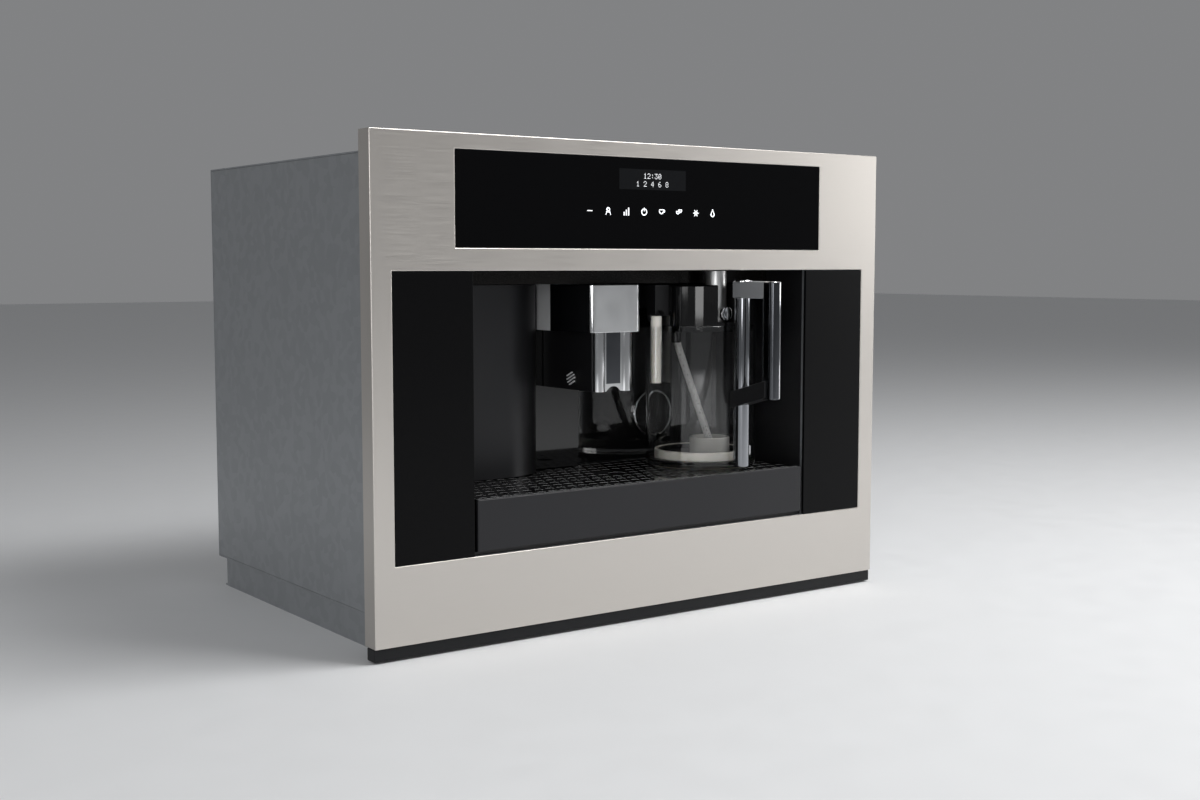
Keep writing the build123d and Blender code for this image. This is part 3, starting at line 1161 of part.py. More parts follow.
with BuildPart() as jug_handle_grip:
    with BuildSketch(Plane.XY.offset(GRIP_BAR_BOTTOM)):
        with Locations((COLUMN_X, y_at(GRIP_BAR_DEPTH))):
            RectangleRounded(GRIP_BAR_WIDTH, GRIP_BAR_REACH, GRIP_BAR_CORNER)
    extrude(amount=GRIP_BAR_LENGTH)
    span_box(
        (COLUMN_X - GRIP_BAR_WIDTH / 2, COLUMN_X + GRIP_BAR_WIDTH / 2),
        (GRIP_BAR_DEPTH, JUG_DEPTH - JUG_RADIUS),
        (BRIDGE_BOTTOM, BRIDGE_TOP),
    )
    upright(
        COLUMN_X,
        HANDLE_COLUMN_DEPTH - COLUMN_CAP_HEIGHT,
        COLUMN_CAP_RADIUS,
        (BRIDGE_BOTTOM, BRIDGE_TOP + COLUMN_CAP_HEIGHT),
    )
    with BuildSketch(Plane(origin=(COLUMN_X, 0, 0), x_dir=(0, 1, 0), z_dir=(1, 0, 0))):
        with BuildLine():
            arm_front = y_at(GRIP_BAR_DEPTH)
            arm_back = y_at(JUG_DEPTH - JUG_RADIUS - FIT_GAP)
            arm_low = GRIP_BAR_BOTTOM + ARM_LIFT
            Polyline(
                (arm_front, arm_low),
                (arm_front, arm_low + ARM_HEIGHT),
                (arm_back, arm_low + ARM_HEIGHT - ARM_RISE),
                (arm_back, arm_low - ARM_RISE),
                close=True,
            )
        make_face()
    extrude(amount=ARM_HALF_WIDTH, both=True)
    upright(
        COLUMN_X,
        HANDLE_COLUMN_DEPTH,
        HANDLE_COLUMN_RADIUS + FIT_GAP,
        (GRIP_BAR_BOTTOM - 2 * ARM_RISE, BRIDGE_BOTTOM),
        Mode.SUBTRACT,
    )
    bridge_cut = (BRIDGE_BOTTOM - OVERCUT, BRIDGE_TOP + OVERCUT)
    upright(JUG_X, JUG_DEPTH, JUG_RADIUS + FIT_GAP, bridge_cut, Mode.SUBTRACT)

# ================================================================ deck and what stands on it
suction_depth = SPIGOT_DEPTH
with BuildPart() as equipment_deck:
    deck_z = (DECK_TOP - SHEET, DECK_TOP)
    span_box((-BODY_INNER + FIT_GAP, BODY_INNER - FIT_GAP), (DECK_DEPTH, REAR_FRONT - FIT_GAP), deck_z)
    deck_cut = (DECK_TOP - 2 * SHEET, DECK_TOP + SHEET)
    upright(SUCTION_X, suction_depth, HOSE_RADIUS + HOSE_HOLE_GAP, deck_cut, Mode.SUBTRACT)
    upright(PRESSURE_X, PUMP_DEPTH, HOSE_RADIUS + HOSE_HOLE_GAP, deck_cut, Mode.SUBTRACT)

with BuildPart() as bean_hopper:
    span_box((HOPPER_LEFT, HOPPER_RIGHT), (HOPPER_FRONT, HOPPER_BACK), (HOPPER_BOTTOM, HOPPER_RIM))
    span_box((CHUTE_LEFT, CHUTE_RIGHT), (CHUTE_FRONT, HOPPER_FRONT), (HOPPER_BOTTOM, HOPPER_RIM))
    span_box(
        (HOPPER_LEFT + HOPPER_WALL, HOPPER_RIGHT - HOPPER_WALL),
        (HOPPER_FRONT + HOPPER_WALL, HOPPER_BACK - HOPPER_WALL),
        (HOPPER_BOTTOM + HOPPER_WALL, HOPPER_RIM + OVERCUT),
        mode=Mode.SUBTRACT,
    )
    span_box(
        (CHUTE_LEFT + HOPPER_WALL, CHUTE_RIGHT - HOPPER_WALL),
        (CHUTE_FRONT + HOPPER_WALL, HOPPER_FRONT - HOPPER_WALL),
        (HOPPER_BOTTOM - OVERCUT, HOPPER_RIM + OVERCUT),
        mode=Mode.SUBTRACT,
    )
    upright(
        GRINDER_X,
        GRINDER_DEPTH,
        HOPPER_THROAT,
        (HOPPER_BOTTOM - OVERCUT, HOPPER_BOTTOM + HOPPER_WALL + OVERCUT),
        Mode.SUBTRACT,
    )

grinder_top = HOPPER_BOTTOM
head_bottom = grinder_top - GRINDER_HEAD
burr_bottom = grinder_top - GRINDER_WALL - 3 * BURR_HEIGHT
with BuildPart() as grinder_body:
    upright(GRINDER_X, GRINDER_DEPTH, GRINDER_RADIUS, (head_bottom, grinder_top))
    upright(
        GRINDER_X,
        GRINDER_DEPTH,
        GRINDER_RADIUS - GRINDER_WALL,
        (burr_bottom, grinder_top - GRINDER_WALL),
        Mode.SUBTRACT,
    )
    upright(GRINDER_X, GRINDER_DEPTH, HOPPER_THROAT, (grinder_top - GRINDER_WALL, grinder_top), Mode.SUBTRACT)
    upright(GRINDER_X, GRINDER_DEPTH, MOTOR_RADIUS, (DECK_TOP, head_bottom))

with BuildPart() as grinder_burrs:
    upright(GRINDER_X, GRINDER_DEPTH, BURR_RADIUS, (burr_bottom, burr_bottom + BURR_HEIGHT))
    upper_burr = (burr_bottom + BURR_HEIGHT + FIT_GAP, burr_bottom + 2 * BURR_HEIGHT)
    ring_outside = GRINDER_RADIUS - GRINDER_WALL - FIT_GAP
    upright(GRINDER_X, GRINDER_DEPTH, ring_outside, upper_burr)
    upright(
        GRINDER_X,
        GRINDER_DEPTH,
        BURR_BORE,
        (burr_bottom + BURR_HEIGHT / 2, upper_burr[1] + OVERCUT),
        Mode.SUBTRACT,
    )

brew_right = BREW_LEFT + BREW_WIDTH
brew_back = BREW_FRONT + BREW_LENGTH
brew_top = DECK_TOP + BREW_HEIGHT
with BuildPart() as brew_unit:
    span_box((BREW_LEFT, brew_right), (BREW_FRONT, brew_back), (DECK_TOP, brew_top))
    fillet(brew_unit.edges().filter_by(Axis.Z), BREW_CORNER)
    upright(
        (BREW_LEFT + brew_right) / 2,
        (BREW_FRONT + brew_back) / 2,
        CHAMBER_RADIUS,
        (brew_top, brew_top + CHAMBER_HEIGHT),
    )
    upright(
        (BREW_LEFT + brew_right) / 2,
        (BREW_FRONT + brew_back) / 2,
        CHAMBER_RADIUS - CHAMBER_WALL,
        (brew_top, brew_top + CHAMBER_HEIGHT + OVERCUT),
        Mode.SUBTRACT,
    )

drive_left = brew_right + FIT_GAP
with BuildPart() as brew_drive:
    span_box(
        (drive_left, drive_left + DRIVE_WIDTH),
        (BREW_FRONT + FIT_GAP, BREW_FRONT + DRIVE_LENGTH),
        (DECK_TOP, DECK_TOP + DRIVE_HEIGHT),
    )
    upright(
        drive_left + DRIVE_WIDTH / 2,
        BREW_FRONT + DRIVE_LENGTH / 2,
        DRIVE_WIDTH / 2 - DRIVE_CAP_INSET,
        (DECK_TOP + DRIVE_HEIGHT, DECK_TOP + DRIVE_HEIGHT + DRIVE_CAP_HEIGHT),
    )

with BuildPart() as grounds_container:
    grounds_x = (GROUNDS_LEFT, GROUNDS_LEFT + GROUNDS_WIDTH)
    grounds_depth = (GROUNDS_FRONT, GROUNDS_FRONT + GROUNDS_LENGTH)
    grounds_top = DECK_TOP + GROUNDS_HEIGHT
    span_box(grounds_x, grounds_depth, (DECK_TOP, grounds_top))
    fillet(grounds_container.edges().filter_by(Axis.Z), GROUNDS_CORNER)
    span_box(
        (grounds_x[0] + BIN_WALL, grounds_x[1] - BIN_WALL),
        (grounds_depth[0] + BIN_WALL, grounds_depth[1] - BIN_WALL),
        (DECK_TOP + BIN_WALL, grounds_top + OVERCUT),
        mode=Mode.SUBTRACT,
    )


def boiler_body(front, length):
    """A finned heater block on two feet."""
    back = front + length
    right = BOILER_LEFT + BOILER_WIDTH
    top = DECK_TOP + BOILER_HEIGHT
    span_box((BOILER_LEFT, right), (front, back), (DECK_TOP + BOILER_FOOT, top))
    for foot_x in (BOILER_LEFT + BOILER_FOOT, right - BOILER_FOOT):
        span_box(
            (foot_x - BOILER_FOOT, foot_x + BOILER_FOOT),
            (front, back),
            (DECK_TOP, DECK_TOP + BOILER_FOOT),
        )
    pitch = BOILER_HEIGHT / (FIN_COUNT + 1)
    for fin in range(1, FIN_COUNT + 1):
        groove = DECK_TOP + fin * pitch + BOILER_FOOT / 2
        span_box(
            (right - FIN_DEPTH, right),
            (front, back),
            (groove, groove + FIN_WALL),
            mode=Mode.SUBTRACT,
        )


with BuildPart() as steam_boiler:
    boiler_body(STEAM_BOILER_FRONT, STEAM_BOILER_LENGTH)

with BuildPart() as coffee_boiler:
    boiler_body(COFFEE_BOILER_FRONT, COFFEE_BOILER_LENGTH)

# ================================================================ under the deck
with BuildPart() as pump:
    across(PUMP_RADIUS, (-PUMP_HALF / 2, PUMP_HALF), PUMP_DEPTH, PUMP_Z)
    across(PUMP_RADIUS / 2, (-PUMP_HALF, -PUMP_HALF / 2), PUMP_DEPTH, PUMP_Z)
    span_box(
        (-PUMP_HALF / 3, PUMP_HALF - PUMP_FOOT_INSET),
        (PUMP_DEPTH - PUMP_RADIUS / 2, PUMP_DEPTH + PUMP_RADIUS / 2),
        (FLOOR_TOP, PUMP_Z),
    )

with BuildPart() as power_board:
    board_right = BOARD_LEFT + BOARD_WIDTH
    board_back = BOARD_FRONT + BOARD_LENGTH
    board_low = FLOOR_TOP + BOARD_RISE
    board_top = board_low + BOARD_SHEET
    span_box((BOARD_LEFT, board_right), (BOARD_FRONT, board_back), (board_low, board_top))
    for post_x in (BOARD_LEFT + BOARD_MARGIN, board_right - BOARD_MARGIN):
        for post_depth in (BOARD_FRONT + BOARD_MARGIN, board_back - BOARD_MARGIN):
            upright(post_x, post_depth, POST_RADIUS, (FLOOR_TOP, board_low))
    choke_left = BOARD_LEFT + CHOKE_LEFT
    choke_front = BOARD_FRONT + CHOKE_FRONT
    span_box(
        (choke_left, choke_left + CHOKE_WIDTH),
        (choke_front, choke_front + CHOKE_LENGTH),
        (board_top, board_top + CHOKE_HEIGHT),
    )
    for place in range(CAPACITOR_COUNT):
        upright(
            BOARD_LEFT + CAPACITOR_LEFT,
            BOARD_FRONT + CAPACITOR_FRONT + place * CAPACITOR_PITCH,
            CAPACITOR_RADIUS,
            (board_top, board_top + CAPACITOR_HEIGHT),
        )
    span_box(
        (BOARD_LEFT + SINK_LEFT, BOARD_LEFT + SINK_LEFT + SINK_WALL),
        (BOARD_FRONT + SINK_INSET, board_back - SINK_INSET),
        (board_top, board_top + SINK_HEIGHT),
    )

socket_right = TANK_LEFT - SPIGOT_LENGTH + SOCKET_LENGTH / 2
socket_left = socket_right - SOCKET_LENGTH


def hose(points, radius):
    """A round hose along a path with rounded corners, in x, depth and z."""
    with BuildLine() as path:
        FilletPolyline(*[(x, y_at(depth), z) for x, depth, z in points], radius=HOSE_BEND)
    with BuildSketch(Plane(origin=path.line @ 0, z_dir=path.line % 0)) as section:
        Circle(radius)
    sweep(section.sketch, path=path.line)


steam_top = DECK_TOP + BOILER_HEIGHT
coffee_port_z = steam_top - COFFEE_PORT_DROP
with BuildPart() as water_hoses:
    hose(
        [
            (socket_left, suction_depth, SPIGOT_Z),
            (SUCTION_X, suction_depth, SPIGOT_Z),
            (SUCTION_X, suction_depth, PUMP_Z),
            (PUMP_HALF, suction_depth, PUMP_Z),
        ],
        HOSE_RADIUS,
    )
    across(SPIGOT_RADIUS + SOCKET_WALL, (socket_left, socket_right), suction_depth, SPIGOT_Z)
    across(
        SPIGOT_RADIUS + FIT_GAP,
        (TANK_LEFT - SPIGOT_LENGTH - FIT_GAP, socket_right + OVERCUT),
        suction_depth,
        SPIGOT_Z,
        Mode.SUBTRACT,
    )
    hose(
        [
            (PRESSURE_X, PUMP_DEPTH, PUMP_Z + PUMP_RADIUS),
            (PRESSURE_X, PUMP_DEPTH, SPIGOT_Z),
            (BOILER_LEFT, PUMP_DEPTH, SPIGOT_Z),
        ],
        HOSE_RADIUS,
    )
    hose(
        [
            (NOZZLE_X, STEAM_BOILER_FRONT + STEAM_PORT, steam_top),
            (NOZZLE_X, STEAM_BOILER_FRONT + STEAM_PORT, NOZZLE_Z),
            (NOZZLE_X, WALL_DEPTH + LINER_WALL + NOZZLE_TAIL, NOZZLE_Z),
        ],
        THIN_HOSE_RADIUS,
    )
    hose(
        [
            (BOILER_LEFT, COFFEE_BOILER_FRONT + COFFEE_PORT, coffee_port_z),
            (BOILER_LEFT / 2, COFFEE_BOILER_FRONT + COFFEE_PORT, coffee_port_z),
            (BOILER_LEFT / 2, brew_back - BREW_PORT, coffee_port_z),
            (brew_right, brew_back - BREW_PORT, coffee_port_z),
        ],
        THIN_HOSE_RADIUS,
    )

rocker_pivot = BODY_DEPTH - ROCKER_SETBACK
rocker_x = (SWITCH_X - ROCKER_HALF_WIDTH, SWITCH_X + ROCKER_HALF_WIDTH)
pin_x = (rocker_x[0] - ROCKER_PIN_LENGTH, rocker_x[1] + ROCKER_PIN_LENGTH)
with BuildPart() as mains_inlet:
    inlet_x = (INLET_X - INLET_HALF_WIDTH + FIT_GAP, INLET_X + INLET_HALF_WIDTH - FIT_GAP)
    inlet_z = (INLET_Z - INLET_HALF_HEIGHT + FIT_GAP, INLET_Z + INLET_HALF_HEIGHT - FIT_GAP)
    inlet_back = BODY_DEPTH + SCREW_HEAD
    span_box(inlet_x, (BODY_DEPTH - INLET_LENGTH, inlet_back), inlet_z)
    span_box(
        (inlet_x[0] - INLET_FLANGE, inlet_x[1] + INLET_FLANGE),
        (BODY_DEPTH, inlet_back),
        (inlet_z[0] - INLET_FLANGE, inlet_z[1] + INLET_FLANGE),
    )
    plug_left = INLET_X - INLET_HALF_WIDTH + PLUG_WALL
    span_box(
        (plug_left, plug_left + PLUG_WIDTH),
        (BODY_DEPTH - INLET_LENGTH + PLUG_WALL, inlet_back + OVERCUT),
        (INLET_Z - PLUG_HALF_HEIGHT, INLET_Z + PLUG_HALF_HEIGHT),
        mode=Mode.SUBTRACT,
    )
    for place in (-1, 0, 1):
        blade_x = plug_left + PLUG_WIDTH / 2 + place * BLADE_PITCH
        span_box(
            (blade_x - BLADE_HALF_WIDTH, blade_x + BLADE_HALF_WIDTH),
            (BODY_DEPTH - INLET_LENGTH, BODY_DEPTH - PLUG_WALL),
            (INLET_Z - BLADE_HALF_HEIGHT, INLET_Z + BLADE_HALF_HEIGHT),
        )
    rocker_room = ROCKER_HALF_HEIGHT + ROCKER_SWING_GAP
    span_box(
        (rocker_x[0] - FIT_GAP, rocker_x[1] + FIT_GAP),
        (BODY_DEPTH - ROCKER_THICKNESS - PLUG_WALL, inlet_back + OVERCUT),
        (INLET_Z - rocker_room, INLET_Z + rocker_room),
        mode=Mode.SUBTRACT,
    )
    across(
        ROCKER_PIN_RADIUS + PIN_CLEARANCE,
        (pin_x[0] - FIT_GAP, pin_x[1] + FIT_GAP),
        rocker_pivot,
        INLET_Z,
        Mode.SUBTRACT,
    )

with BuildPart() as power_switch:
    span_box(
        rocker_x,
        (rocker_pivot - ROCKER_THICKNESS / 2, rocker_pivot + ROCKER_THICKNESS / 2),
        (INLET_Z - ROCKER_HALF_HEIGHT, INLET_Z + ROCKER_HALF_HEIGHT),
    )
    fillet(power_switch.edges().filter_by(Axis.X), ROCKER_SWING_GAP)
    across(ROCKER_PIN_RADIUS, pin_x, rocker_pivot, INLET_Z)

# ================================================================ water tank
tank_x = (TANK_LEFT, TANK_RIGHT)
tank_depth = (TANK_FRONT, TANK_BACK)
with BuildPart() as water_tank:
    span_box(tank_x, tank_depth, (TANK_BOTTOM, TANK_TOP))
    fillet(water_tank.edges().filter_by(Axis.Z), TANK_CORNER)
    span_box(
        (TANK_LEFT + TANK_WALL, TANK_RIGHT - TANK_WALL),
        (TANK_FRONT + TANK_WALL, TANK_BACK - TANK_WALL),
        (TANK_BOTTOM + TANK_WALL, TANK_TOP + OVERCUT),
        mode=Mode.SUBTRACT,
    )
    spigot_left = TANK_LEFT - SPIGOT_LENGTH
    across(SPIGOT_RADIUS, (spigot_left, TANK_LEFT + TANK_WALL / 2), SPIGOT_DEPTH, SPIGOT_Z)
    across(
        NOZZLE_BORE,
        (spigot_left - OVERCUT, TANK_LEFT + 2 * TANK_WALL),
        SPIGOT_DEPTH,
        SPIGOT_Z,
        Mode.SUBTRACT,
    )

with BuildPart() as tank_lid:
    span_box(tank_x, tank_depth, (TANK_TOP, TANK_TOP + TANK_LID))
    fillet(tank_lid.edges().filter_by(Axis.Z), TANK_CORNER)
    lid_inset = TANK_WALL + TANK_LID_PLUG_GAP
    span_box(
        (TANK_LEFT + lid_inset, TANK_RIGHT - lid_inset),
        (TANK_FRONT + lid_inset, TANK_BACK - lid_inset),
        (TANK_TOP - TANK_LID_PLUG, TANK_TOP),
    )

# ================================================================ lids and knob on the top
with BuildPart() as hopper_lid:
    hinged_lid(HOPPER_LID_X, HOPPER_FRONT - FIT_GAP, HOPPER_HINGE)

with BuildPart() as powder_lid:
    hinged_lid(POWDER_LID_X, CHUTE_FRONT - LID_LAP, POWDER_HINGE)

with BuildPart() as grind_knob:
    knob_base = BODY_TOP + FIT_GAP
    knob_top = knob_base + GRIND_KNOB_HEIGHT
    upright(GRIND_KNOB_X, GRIND_KNOB_DEPTH, GRIND_KNOB_RADIUS, (knob_base, knob_top))
    with Locations((GRIND_KNOB_X, y_at(GRIND_KNOB_DEPTH), (knob_base + knob_top) / 2)):
        with PolarLocations(GRIND_KNOB_RADIUS + FLUTE_RADIUS / 2, FLUTE_COUNT):
            Cylinder(FLUTE_RADIUS, GRIND_KNOB_HEIGHT, mode=Mode.SUBTRACT)
    upright(
        GRIND_KNOB_X,
        GRIND_KNOB_DEPTH,
        GRIND_STEM_RADIUS,
        (BODY_TOP - GRIND_STEM_LENGTH, knob_base),
    )

# ================================================================ export
pieces = {
    "mounting_plate": mounting_plate,
    "outer_rails": outer_rails,
    "middle_rails": middle_rails,
    "inner_rails": inner_rails,
    "chassis_base": chassis_base,
    "left_side_panel": left_side_panel,
    "right_side_panel": right_side_panel,
    "rear_panel": rear_panel,
    "top_panel": top_panel,
    "panel_screws": panel_screws,
    "front_frame": front_frame,
    "fascia": fascia,
    "control_glass": control_glass,
    "control_board": control_board,
    "bottom_trim": bottom_trim,
    "flank_panels": flank_panels,
    "recess_liner": recess_liner,
    "recess_header": recess_header,
    "recess_back_wall": recess_back_wall,
    "release_button": release_button,
    "steam_nozzle": steam_nozzle,
    "door_hinge_pins": door_hinge_pins,
    "door_shell": door_shell,
    "door_inner_panel": door_inner_panel,
    "spout_housing": spout_housing,
    "nozzle_cover": nozzle_cover,
    "spout_carriage": spout_carriage,
    "drip_tray_front": drip_tray_front,
    "drip_tray_bin": drip_tray_bin,
    "drip_grille": drip_grille,
    "drip_float": drip_float,
    "jug_glass": jug_glass,
    "jug_base": jug_base,
    "jug_lid": jug_lid,
    "frother_head": frother_head,
    "froth_knob": froth_knob,
    "milk_spout": milk_spout,
    "milk_intake_tube": milk_intake_tube,
    "jug_handle_column": jug_handle_column,
    "jug_handle_grip": jug_handle_grip,
    "equipment_deck": equipment_deck,
    "bean_hopper": bean_hopper,
    "hopper_lid": hopper_lid,
    "powder_lid": powder_lid,
    "grind_knob": grind_knob,
    "grinder_body": grinder_body,
    "grinder_burrs": grinder_burrs,
    "brew_unit": brew_unit,
    "brew_drive": brew_drive,
    "grounds_container": grounds_container,
    "steam_boiler": steam_boiler,
    "coffee_boiler": coffee_boiler,
    "pump": pump,
    "power_board": power_board,
    "water_hoses": water_hoses,
    "mains_inlet": mains_inlet,
    "power_switch": power_switch,
    "water_tank": water_tank,
    "tank_lid": tank_lid,
}
for name, piece in pieces.items():
    piece.part.label = name
    export_step(piece.part, f"parts/{name}.step")
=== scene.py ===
"""Built-in coffee machine in a plain studio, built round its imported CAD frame."""
import math

import bmesh
import bpy
from bpy.props import FloatProperty, FloatVectorProperty, PointerProperty, StringProperty
from mathutils import Euler, Matrix, Vector


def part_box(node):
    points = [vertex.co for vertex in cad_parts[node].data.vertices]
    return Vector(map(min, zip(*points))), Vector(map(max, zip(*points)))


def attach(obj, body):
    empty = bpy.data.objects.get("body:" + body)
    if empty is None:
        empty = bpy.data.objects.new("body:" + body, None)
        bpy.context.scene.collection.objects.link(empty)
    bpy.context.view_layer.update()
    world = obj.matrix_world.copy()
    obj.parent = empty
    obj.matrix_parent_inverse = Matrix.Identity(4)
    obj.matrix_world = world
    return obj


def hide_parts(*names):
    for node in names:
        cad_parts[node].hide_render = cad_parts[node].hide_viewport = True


bl_info = {
    "name": "Built-in coffee machine", "version": (1, 0, 0), "blender": (4, 5, 0),
    "location": "3D View > Sidebar > Coffee Machine",
    "description": "Dresses the coffee machine's CAD frame in detailed pieces and finishes",
    "category": "Object"
}

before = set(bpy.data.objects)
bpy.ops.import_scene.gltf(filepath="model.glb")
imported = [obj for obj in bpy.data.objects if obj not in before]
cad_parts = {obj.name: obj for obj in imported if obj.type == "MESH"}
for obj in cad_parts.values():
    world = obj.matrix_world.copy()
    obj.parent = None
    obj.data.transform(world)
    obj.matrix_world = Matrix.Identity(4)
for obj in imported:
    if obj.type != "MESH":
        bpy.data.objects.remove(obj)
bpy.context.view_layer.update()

MM = 0.001
ORIGIN_DEPTH = 210.0             # the frame's origin lies this far behind the fascia's face
SHARP = math.radians(32)         # edges that bend more than this keep a hard line
BEVEL_FROM = math.radians(38)    # edges that bend more than this are rounded
SAME_PLACE = 1e-7                # vertices nearer than this, in metres, are one
PRINT_DEPTH = -0.06              # print lies this far in front of the fascia's face


# ---------------------------------------------------------------- colours
STEEL = "#D3CEC8"
FLOOR = "#DEDFE0"


def linear(hex_colour):
    """Turns an sRGB hex value into the linear colour that a shader takes."""
    channels = []
    for start in (1, 3, 5):
        value = int(hex_colour[start : start + 2], 16) / 255
        channels.append(value / 12.92 if value <= 0.04045 else ((value + 0.055) / 1.055) ** 2.4)
    return (*channels, 1.0)


# ---------------------------------------------------------------- places
def spot(x, depth, z):
    """A point from x, depth behind the fascia and height, all in millimetres."""
    return Vector((x * MM, (depth - ORIGIN_DEPTH) * MM, z * MM))


def node_span(node):
    """A CAD node's x, depth and z spans in millimetres."""
    low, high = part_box(node)
    return (
        (low[0] / MM, high[0] / MM), (low[1] / MM + ORIGIN_DEPTH, high[1] / MM + ORIGIN_DEPTH),
        (low[2] / MM, high[2] / MM)
    )


# ---------------------------------------------------------------- mesh helpers
def add_block(bm, x_span, depth_span, z_span, rounding=0.0, steps=3, mark=0):
    """Adds a block with rounded edges."""
    corner = spot(x_span[0], depth_span[0], z_span[0])
    size = spot(x_span[1], depth_span[1], z_span[1]) - corner
    made = bmesh.ops.create_cube(bm, size=1.0)["verts"]
    bmesh.ops.scale(bm, vec=size, verts=made)
    bmesh.ops.translate(bm, vec=corner + size / 2, verts=made)
    faces = {face for vert in made for face in vert.link_faces}
    for face in faces:
        face.material_index = mark
    if rounding:
        round_edges(bm, {edge for face in faces for edge in face.edges}, rounding, steps)


def round_edges(bm, edges, width, steps=3, mark=-1):
    """Rounds edges by a width in millimetres."""
    bmesh.ops.bevel(
        bm, geom=list(edges), offset=width * MM, segments=steps, profile=0.5, affect="EDGES", material=mark,
        clamp_overlap=True
    )


def add_turned(bm, profile, centre, axis="Z", steps=64, mark=0):
    """Adds a solid turned from a profile of (radius, distance along the axis) points."""
    verts = [bm.verts.new(Vector((radius * MM, 0, along * MM))) for radius, along in profile]
    edges = [bm.edges.new(pair) for pair in zip(verts, verts[1:])]
    before = set(bm.faces)
    bmesh.ops.spin(
        bm, geom=verts + edges, cent=(0, 0, 0), axis=(0, 0, 1), dvec=(0, 0, 0), angle=math.tau, steps=steps,
        use_merge=True
    )
    faces = [face for face in bm.faces if face not in before]
    made = list({vert for face in faces for vert in face.verts})
    bmesh.ops.remove_doubles(bm, verts=made, dist=SAME_PLACE)
    made = [vert for vert in made if vert.is_valid]
    turn = {
        "Z": Matrix.Identity(3), "Y": Matrix.Rotation(math.radians(90), 3, "X"),
        "X": Matrix.Rotation(math.radians(90), 3, "Y")
    }[axis]
    bmesh.ops.rotate(bm, verts=made, cent=(0, 0, 0), matrix=turn)
    bmesh.ops.translate(bm, verts=made, vec=centre)
    for face in bm.faces:
        if face not in before:
            face.material_index = mark


def moved_verts(made):
    """The vertices among what an extrusion made."""
    return [item for item in made["geom"] if isinstance(item, bmesh.types.BMVert)]


def add_prism(bm, outline, z_span, mark=0):
    """Adds an upright prism over an outline of (x, depth) points."""
    verts = [bm.verts.new(spot(x, depth, z_span[0])) for x, depth in outline]
    lift = Vector((0, 0, (z_span[1] - z_span[0]) * MM))
    before = set(bm.faces)
    made = bmesh.ops.extrude_face_region(bm, geom=[bm.faces.new(verts)], use_keep_orig=True)
    bmesh.ops.translate(bm, vec=lift, verts=moved_verts(made))
    faces = [face for face in bm.faces if face not in before]
    for face in faces:
        face.material_index = mark
    return faces


def add_slab(bm, outline, x_span, rounding, mark=0):
    """Adds a slab over an outline of (depth, height) points, between two x places."""
    base = bm.faces.new([bm.verts.new(spot(x_span[0], depth, z)) for depth, z in outline])
    verts = moved_verts(bmesh.ops.extrude_face_region(bm, geom=[base], use_keep_orig=True))
    bmesh.ops.translate(bm, vec=((x_span[1] - x_span[0]) * MM, 0, 0), verts=verts)
    faces = {base} | {face for vert in verts for face in vert.link_faces}
    for face in faces:
        face.material_index = mark
    round_edges(bm, {edge for face in faces for edge in face.edges}, rounding, 2)


def add_stroke(bm, points, width):
    """Adds a flat printed stroke through (x, z) points, a little in front of the glass."""
    for (x0, z0), (x1, z1) in zip(points, points[1:]):
        run = Vector((x1 - x0, z1 - z0))
        side = Vector((-run.y, run.x)).normalized() * width / 2
        along = run.normalized() * width / 2
        corners = (
            (x0 - along.x + side.x, z0 - along.y + side.y), (x0 - along.x - side.x, z0 - along.y - side.y),
            (x1 + along.x - side.x, z1 + along.y - side.y), (x1 + along.x + side.x, z1 + along.y + side.y)
        )
        bm.faces.new([bm.verts.new(spot(x, PRINT_DEPTH, z)) for x, z in corners])


def add_tube(bm, points, radius, steps=24):
    """Adds a round bar through points in space, with its ends closed."""
    curve = bpy.data.curves.new("bar", "CURVE")
    curve.dimensions = "3D"
    spline = curve.splines.new("POLY")
    spline.points.add(len(points) - 1)
    for item, point in zip(spline.points, points):
        item.co = (*point, 1.0)
    curve.bevel_depth = radius * MM
    curve.bevel_resolution = steps // 4
    curve.use_fill_caps = True
    holder = bpy.data.objects.new("bar", curve)
    bpy.context.scene.collection.objects.link(holder)
    bpy.context.view_layer.update()
    mesh = bpy.data.meshes.new_from_object(holder.evaluated_get(bpy.context.evaluated_depsgraph_get()))
    bm.from_mesh(mesh)
    bpy.data.objects.remove(holder)
    bpy.data.curves.remove(curve)
    bpy.data.meshes.remove(mesh)


def cut_plane(bm, point, normal):
    """Cuts all faces along a plane."""
    everything = bm.verts[:] + bm.edges[:] + bm.faces[:]
    bmesh.ops.bisect_plane(bm, geom=everything, dist=SAME_PLACE, plane_co=point, plane_no=normal)


def arc_points(centre, radius, start, end, count):
    """Points on an arc between two angles in degrees."""
    angles = [math.radians(start + (end - start) * step / count) for step in range(count + 1)]
    return [(centre[0] + radius * math.cos(a), centre[1] + radius * math.sin(a)) for a in angles]


def copied(node):
    """A mesh of a CAD node with its loose triangles joined."""
    bm = bmesh.new()
    bm.from_mesh(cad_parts[node].data)
    bmesh.ops.remove_doubles(bm, verts=bm.verts[:], dist=1e-6)
    bmesh.ops.dissolve_limit(
        bm, angle_limit=math.radians(0.4), use_dissolve_boundaries=False, verts=bm.verts[:],
        edges=bm.edges[:], delimit=set()
    )
    for face in bm.faces:
        face.material_index = 0
    return bm


